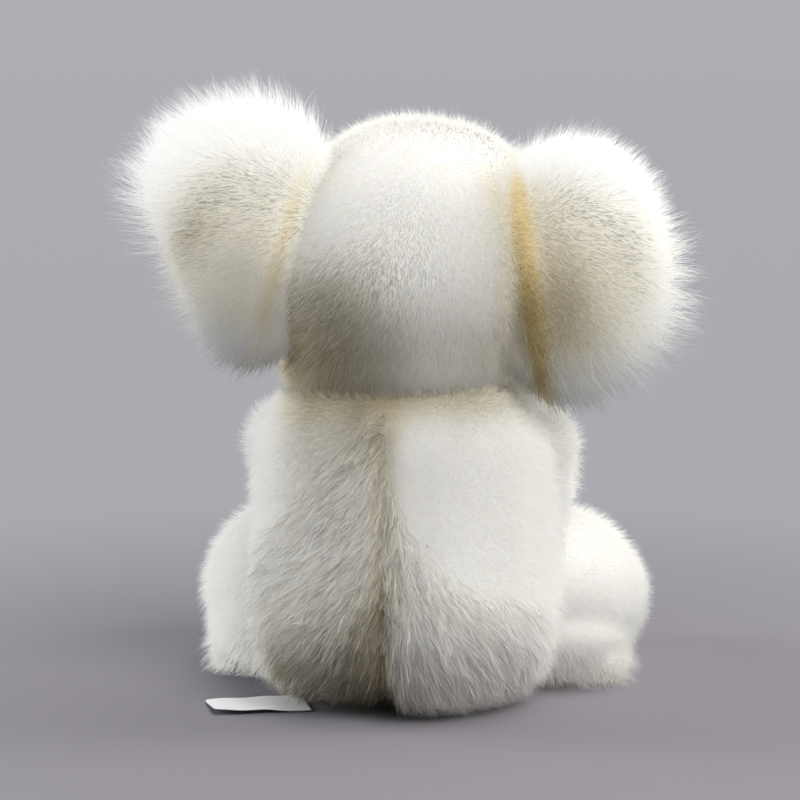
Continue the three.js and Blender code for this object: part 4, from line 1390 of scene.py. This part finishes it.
def foot_pad(side):
    """A felt sole with a soft edge, held by short stitches all round."""
    sign = MIRRORS[side][0]
    out = unit(np.array([0.135 * sign, -0.991, 0]))
    face = np.array([59.23 * sign, -107.78, 19.0])
    m = np.eye(4)
    m[:3, 0], m[:3, 1], m[:3, 2], m[:3, 3] = np.cross([0, 0, 1], out), [0, 0, 1], out, face - out * 1.6
    edge = [(5, 6, 0), (10.4, 12.4, 0), (10.85, 12.85, 0.25), (11, 13, 0.7), (10.85, 12.85, 1.15), (10.3, 12.3, 1.5)]
    profile = [(0, 0, 0), *edge]
    for s in (0.96, 0.92, 0.88, 0.84, 0.8, 0.7, 0.55, 0.35, 0.15):
        pressed = 0.22 * math.exp(-(((s - 0.86) / 0.05) ** 2))
        profile.append((10.3 * s, 12.3 * s, 1.5 + 0.5 * (1 - s * s) - pressed))
    profile.append((0, 0, 2.0))
    sole = turned_piece(f"foot_{side}_sole", profile, m)
    dress(sole, felt, f"leg_{side}", "foot_pad", f"foot_{side}_pad")
    stitches = 34
    parts = []
    for k in range(stitches):
        a = 2 * math.pi * (k + 0.15 * math.sin(k * 2.3)) / stitches
        row = [
            (10.6 * s * math.cos(a + 0.02 * (s - 0.9)), 12.6 * s * math.sin(a + 0.05 * (s - 0.9)), z)
            for s, z in ((0.84, 1.1), (0.87, 1.75), (0.93, 1.9), (0.99, 1.75), (1.04, 1.2), (1.06, 0.5))
        ]
        parts.append(tube(placed(spline(row, 12), m), 0.27, 6))
    dress(mesh_of(f"foot_{side}_stitches", *merged(parts)), yarn, f"leg_{side}", "seam_thread")


domed("eye_left", (0.499, -0.848, 0.178), 5.6, 5.6, 4.2, eye, "eye", 0.94)
domed("eye_right", (-0.517, -0.85, 0.098), 5.6, 5.6, 4.2, eye, "eye", 0.94)
domed("nose", (-0.047, -0.798, 0.601), 7.6, 11, 8, nose, "nose", 0.9)
mouth()
for node in ("eye_left_washer", "eye_right_washer", "nose_washer"):
    for place in bpy.data.objects[node].material_slots:
        place.material = nylon
foot_pad("left")
foot_pad("right")


# Camera, lamps and stage, in metres

AZIMUTH, ELEVATION, DISTANCE = math.radians(190), math.radians(7), 0.882
AIM = Vector((0.00204, 0.00036, 0.1025))
LAMPS_AIM = Vector((0, 0, 0.09))
ahead = Vector((-math.sin(AZIMUTH), math.cos(AZIMUTH), 0))
right = Vector((math.cos(AZIMUTH), math.sin(AZIMUTH), 0))
up = Vector((0, 0, 1))


def aimed(ob, place, aim):
    ob.location = place
    ob.rotation_euler = (aim - ob.location).to_track_quat("-Z", "Y").to_euler()


camera = linked("camera", bpy.data.cameras.new("camera"))
camera.data.lens, camera.data.sensor_width = 115, 36
camera.data.clip_start, camera.data.clip_end = 0.01, 30
aimed(camera, AIM - ahead * DISTANCE * math.cos(ELEVATION) + up * DISTANCE * math.sin(ELEVATION), AIM)
bpy.context.scene.camera = camera


def lamp(name, place, size, power, colour):
    data = bpy.data.lights.new(name, "AREA")
    data.shape, data.size, data.energy, data.color = "DISK", size, power, colour
    aimed(linked(name, data), place, LAMPS_AIM)


WARM, COOL = (1.0, 0.995, 0.98), (0.95, 0.97, 1.0)
lamp("top", right * 0.25 + ahead * 0.1 + up * 1.2, 0.7, 5.9, WARM)
lamp("right", right * 1.15 + ahead * 0.2 + up * 0.45, 0.6, 5.9, WARM)
lamp("left", right * -1.12 + ahead * 0.3 + up * 0.34, 0.6, 9.8, COOL)
lamp("camera side", right * 0.45 - ahead * 0.75 + up * 1.25, 0.9, 15.0, WARM)

world = bpy.data.worlds.new("room")
world.use_nodes = True
feed(world.node_tree, world.node_tree.nodes["Background"], {"Color": (0.93, 0.95, 1.0, 1), "Strength": 0.14})
bpy.context.scene.world = world


def sweep_material():
    """Near the object a plain surface that takes shadows. Further out it fades to a grey that glows for the camera and
    lets other light through; that grey is painted lighter higher up, standing in for how the backdrop is lit.
    """
    material = bpy.data.materials.new("grey sweep")
    material.use_nodes = True
    tree = material.node_tree
    tree.nodes.clear()
    place = added(tree, "SeparateXYZ", {"Vector": added(tree, "NewGeometry")["Position"]})
    flat = added(tree, "CombineXYZ", {"X": place["X"], "Y": place["Y"]})["Vector"]
    far = added(tree, "VectorMath", {0: flat}, operation="LENGTH")["Value"]
    fade = added(
        tree, "MapRange", {"From Min": 0.08, "From Max": 0.45, "Value": far}, interpolation_type="SMOOTHSTEP"
    )["Result"]
    height = added(tree, "MapRange", {"From Min": 0.0, "From Max": 0.9, "Value": place["Z"]})["Result"]
    grey = ramp(tree, height, (0, (0.408, 0.402, 0.432)), (1, (0.487, 0.452, 0.495)))
    near = added(tree, "BsdfDiffuse", {"Color": (0.25, 0.237, 0.259, 1)})["BSDF"]
    glow = added(tree, "Emission", {"Color": grey})["Emission"]
    clear = added(tree, "BsdfTransparent")["BSDF"]
    path = added(tree, "LightPath")
    seen = {0: path["Is Camera Ray"], 1: path["Is Glossy Ray"]}
    seen = added(tree, "Math", seen, operation="MAXIMUM")["Value"]
    distant = added(tree, "MixShader", {"Fac": seen, 1: clear, 2: glow})["Shader"]
    whole = added(tree, "MixShader", {"Fac": fade, 1: near, 2: distant})["Shader"]
    added(tree, "OutputMaterial", {"Surface": whole})
    return material


def sweep():
    """A floor that curves up into a far round backdrop."""
    radii = [0, 0.1, 0.2, 0.3, 0.4, 0.5, 0.65, 0.8, 1.0, 1.3, 1.6, 1.9, 2.2, 2.5, 2.75, 2.9, 3.0, 3.0, 3.0]
    rise = [0, 0, 0, 0, 0, 0, 0, 0, 0.002, 0.01, 0.03, 0.08, 0.18, 0.38, 0.7, 1.05, 1.5, 2.2, 3.4]
    sides = 96
    angle = turns(sides)
    verts = [[0, 0, 0]]
    for r, z in zip(radii[1:], rise[1:]):
        verts.extend(vectors(r * np.cos(angle), r * np.sin(angle), z).tolist())
    faces = [(0, 1 + i, 1 + (i + 1) % sides) for i in range(sides)]
    for a in range(1, 1 + (len(radii) - 2) * sides, sides):
        b = a + sides
        faces += [(a + i, b + i, b + (i + 1) % sides, a + (i + 1) % sides) for i in range(sides)]
    mesh = bpy.data.meshes.new("floor")
    mesh.from_pydata(verts, [], faces)
    mesh.shade_smooth()
    mesh.materials.append(sweep_material())
    linked("floor", mesh)


sweep()
bpy.context.scene.view_settings.view_transform = "Standard"
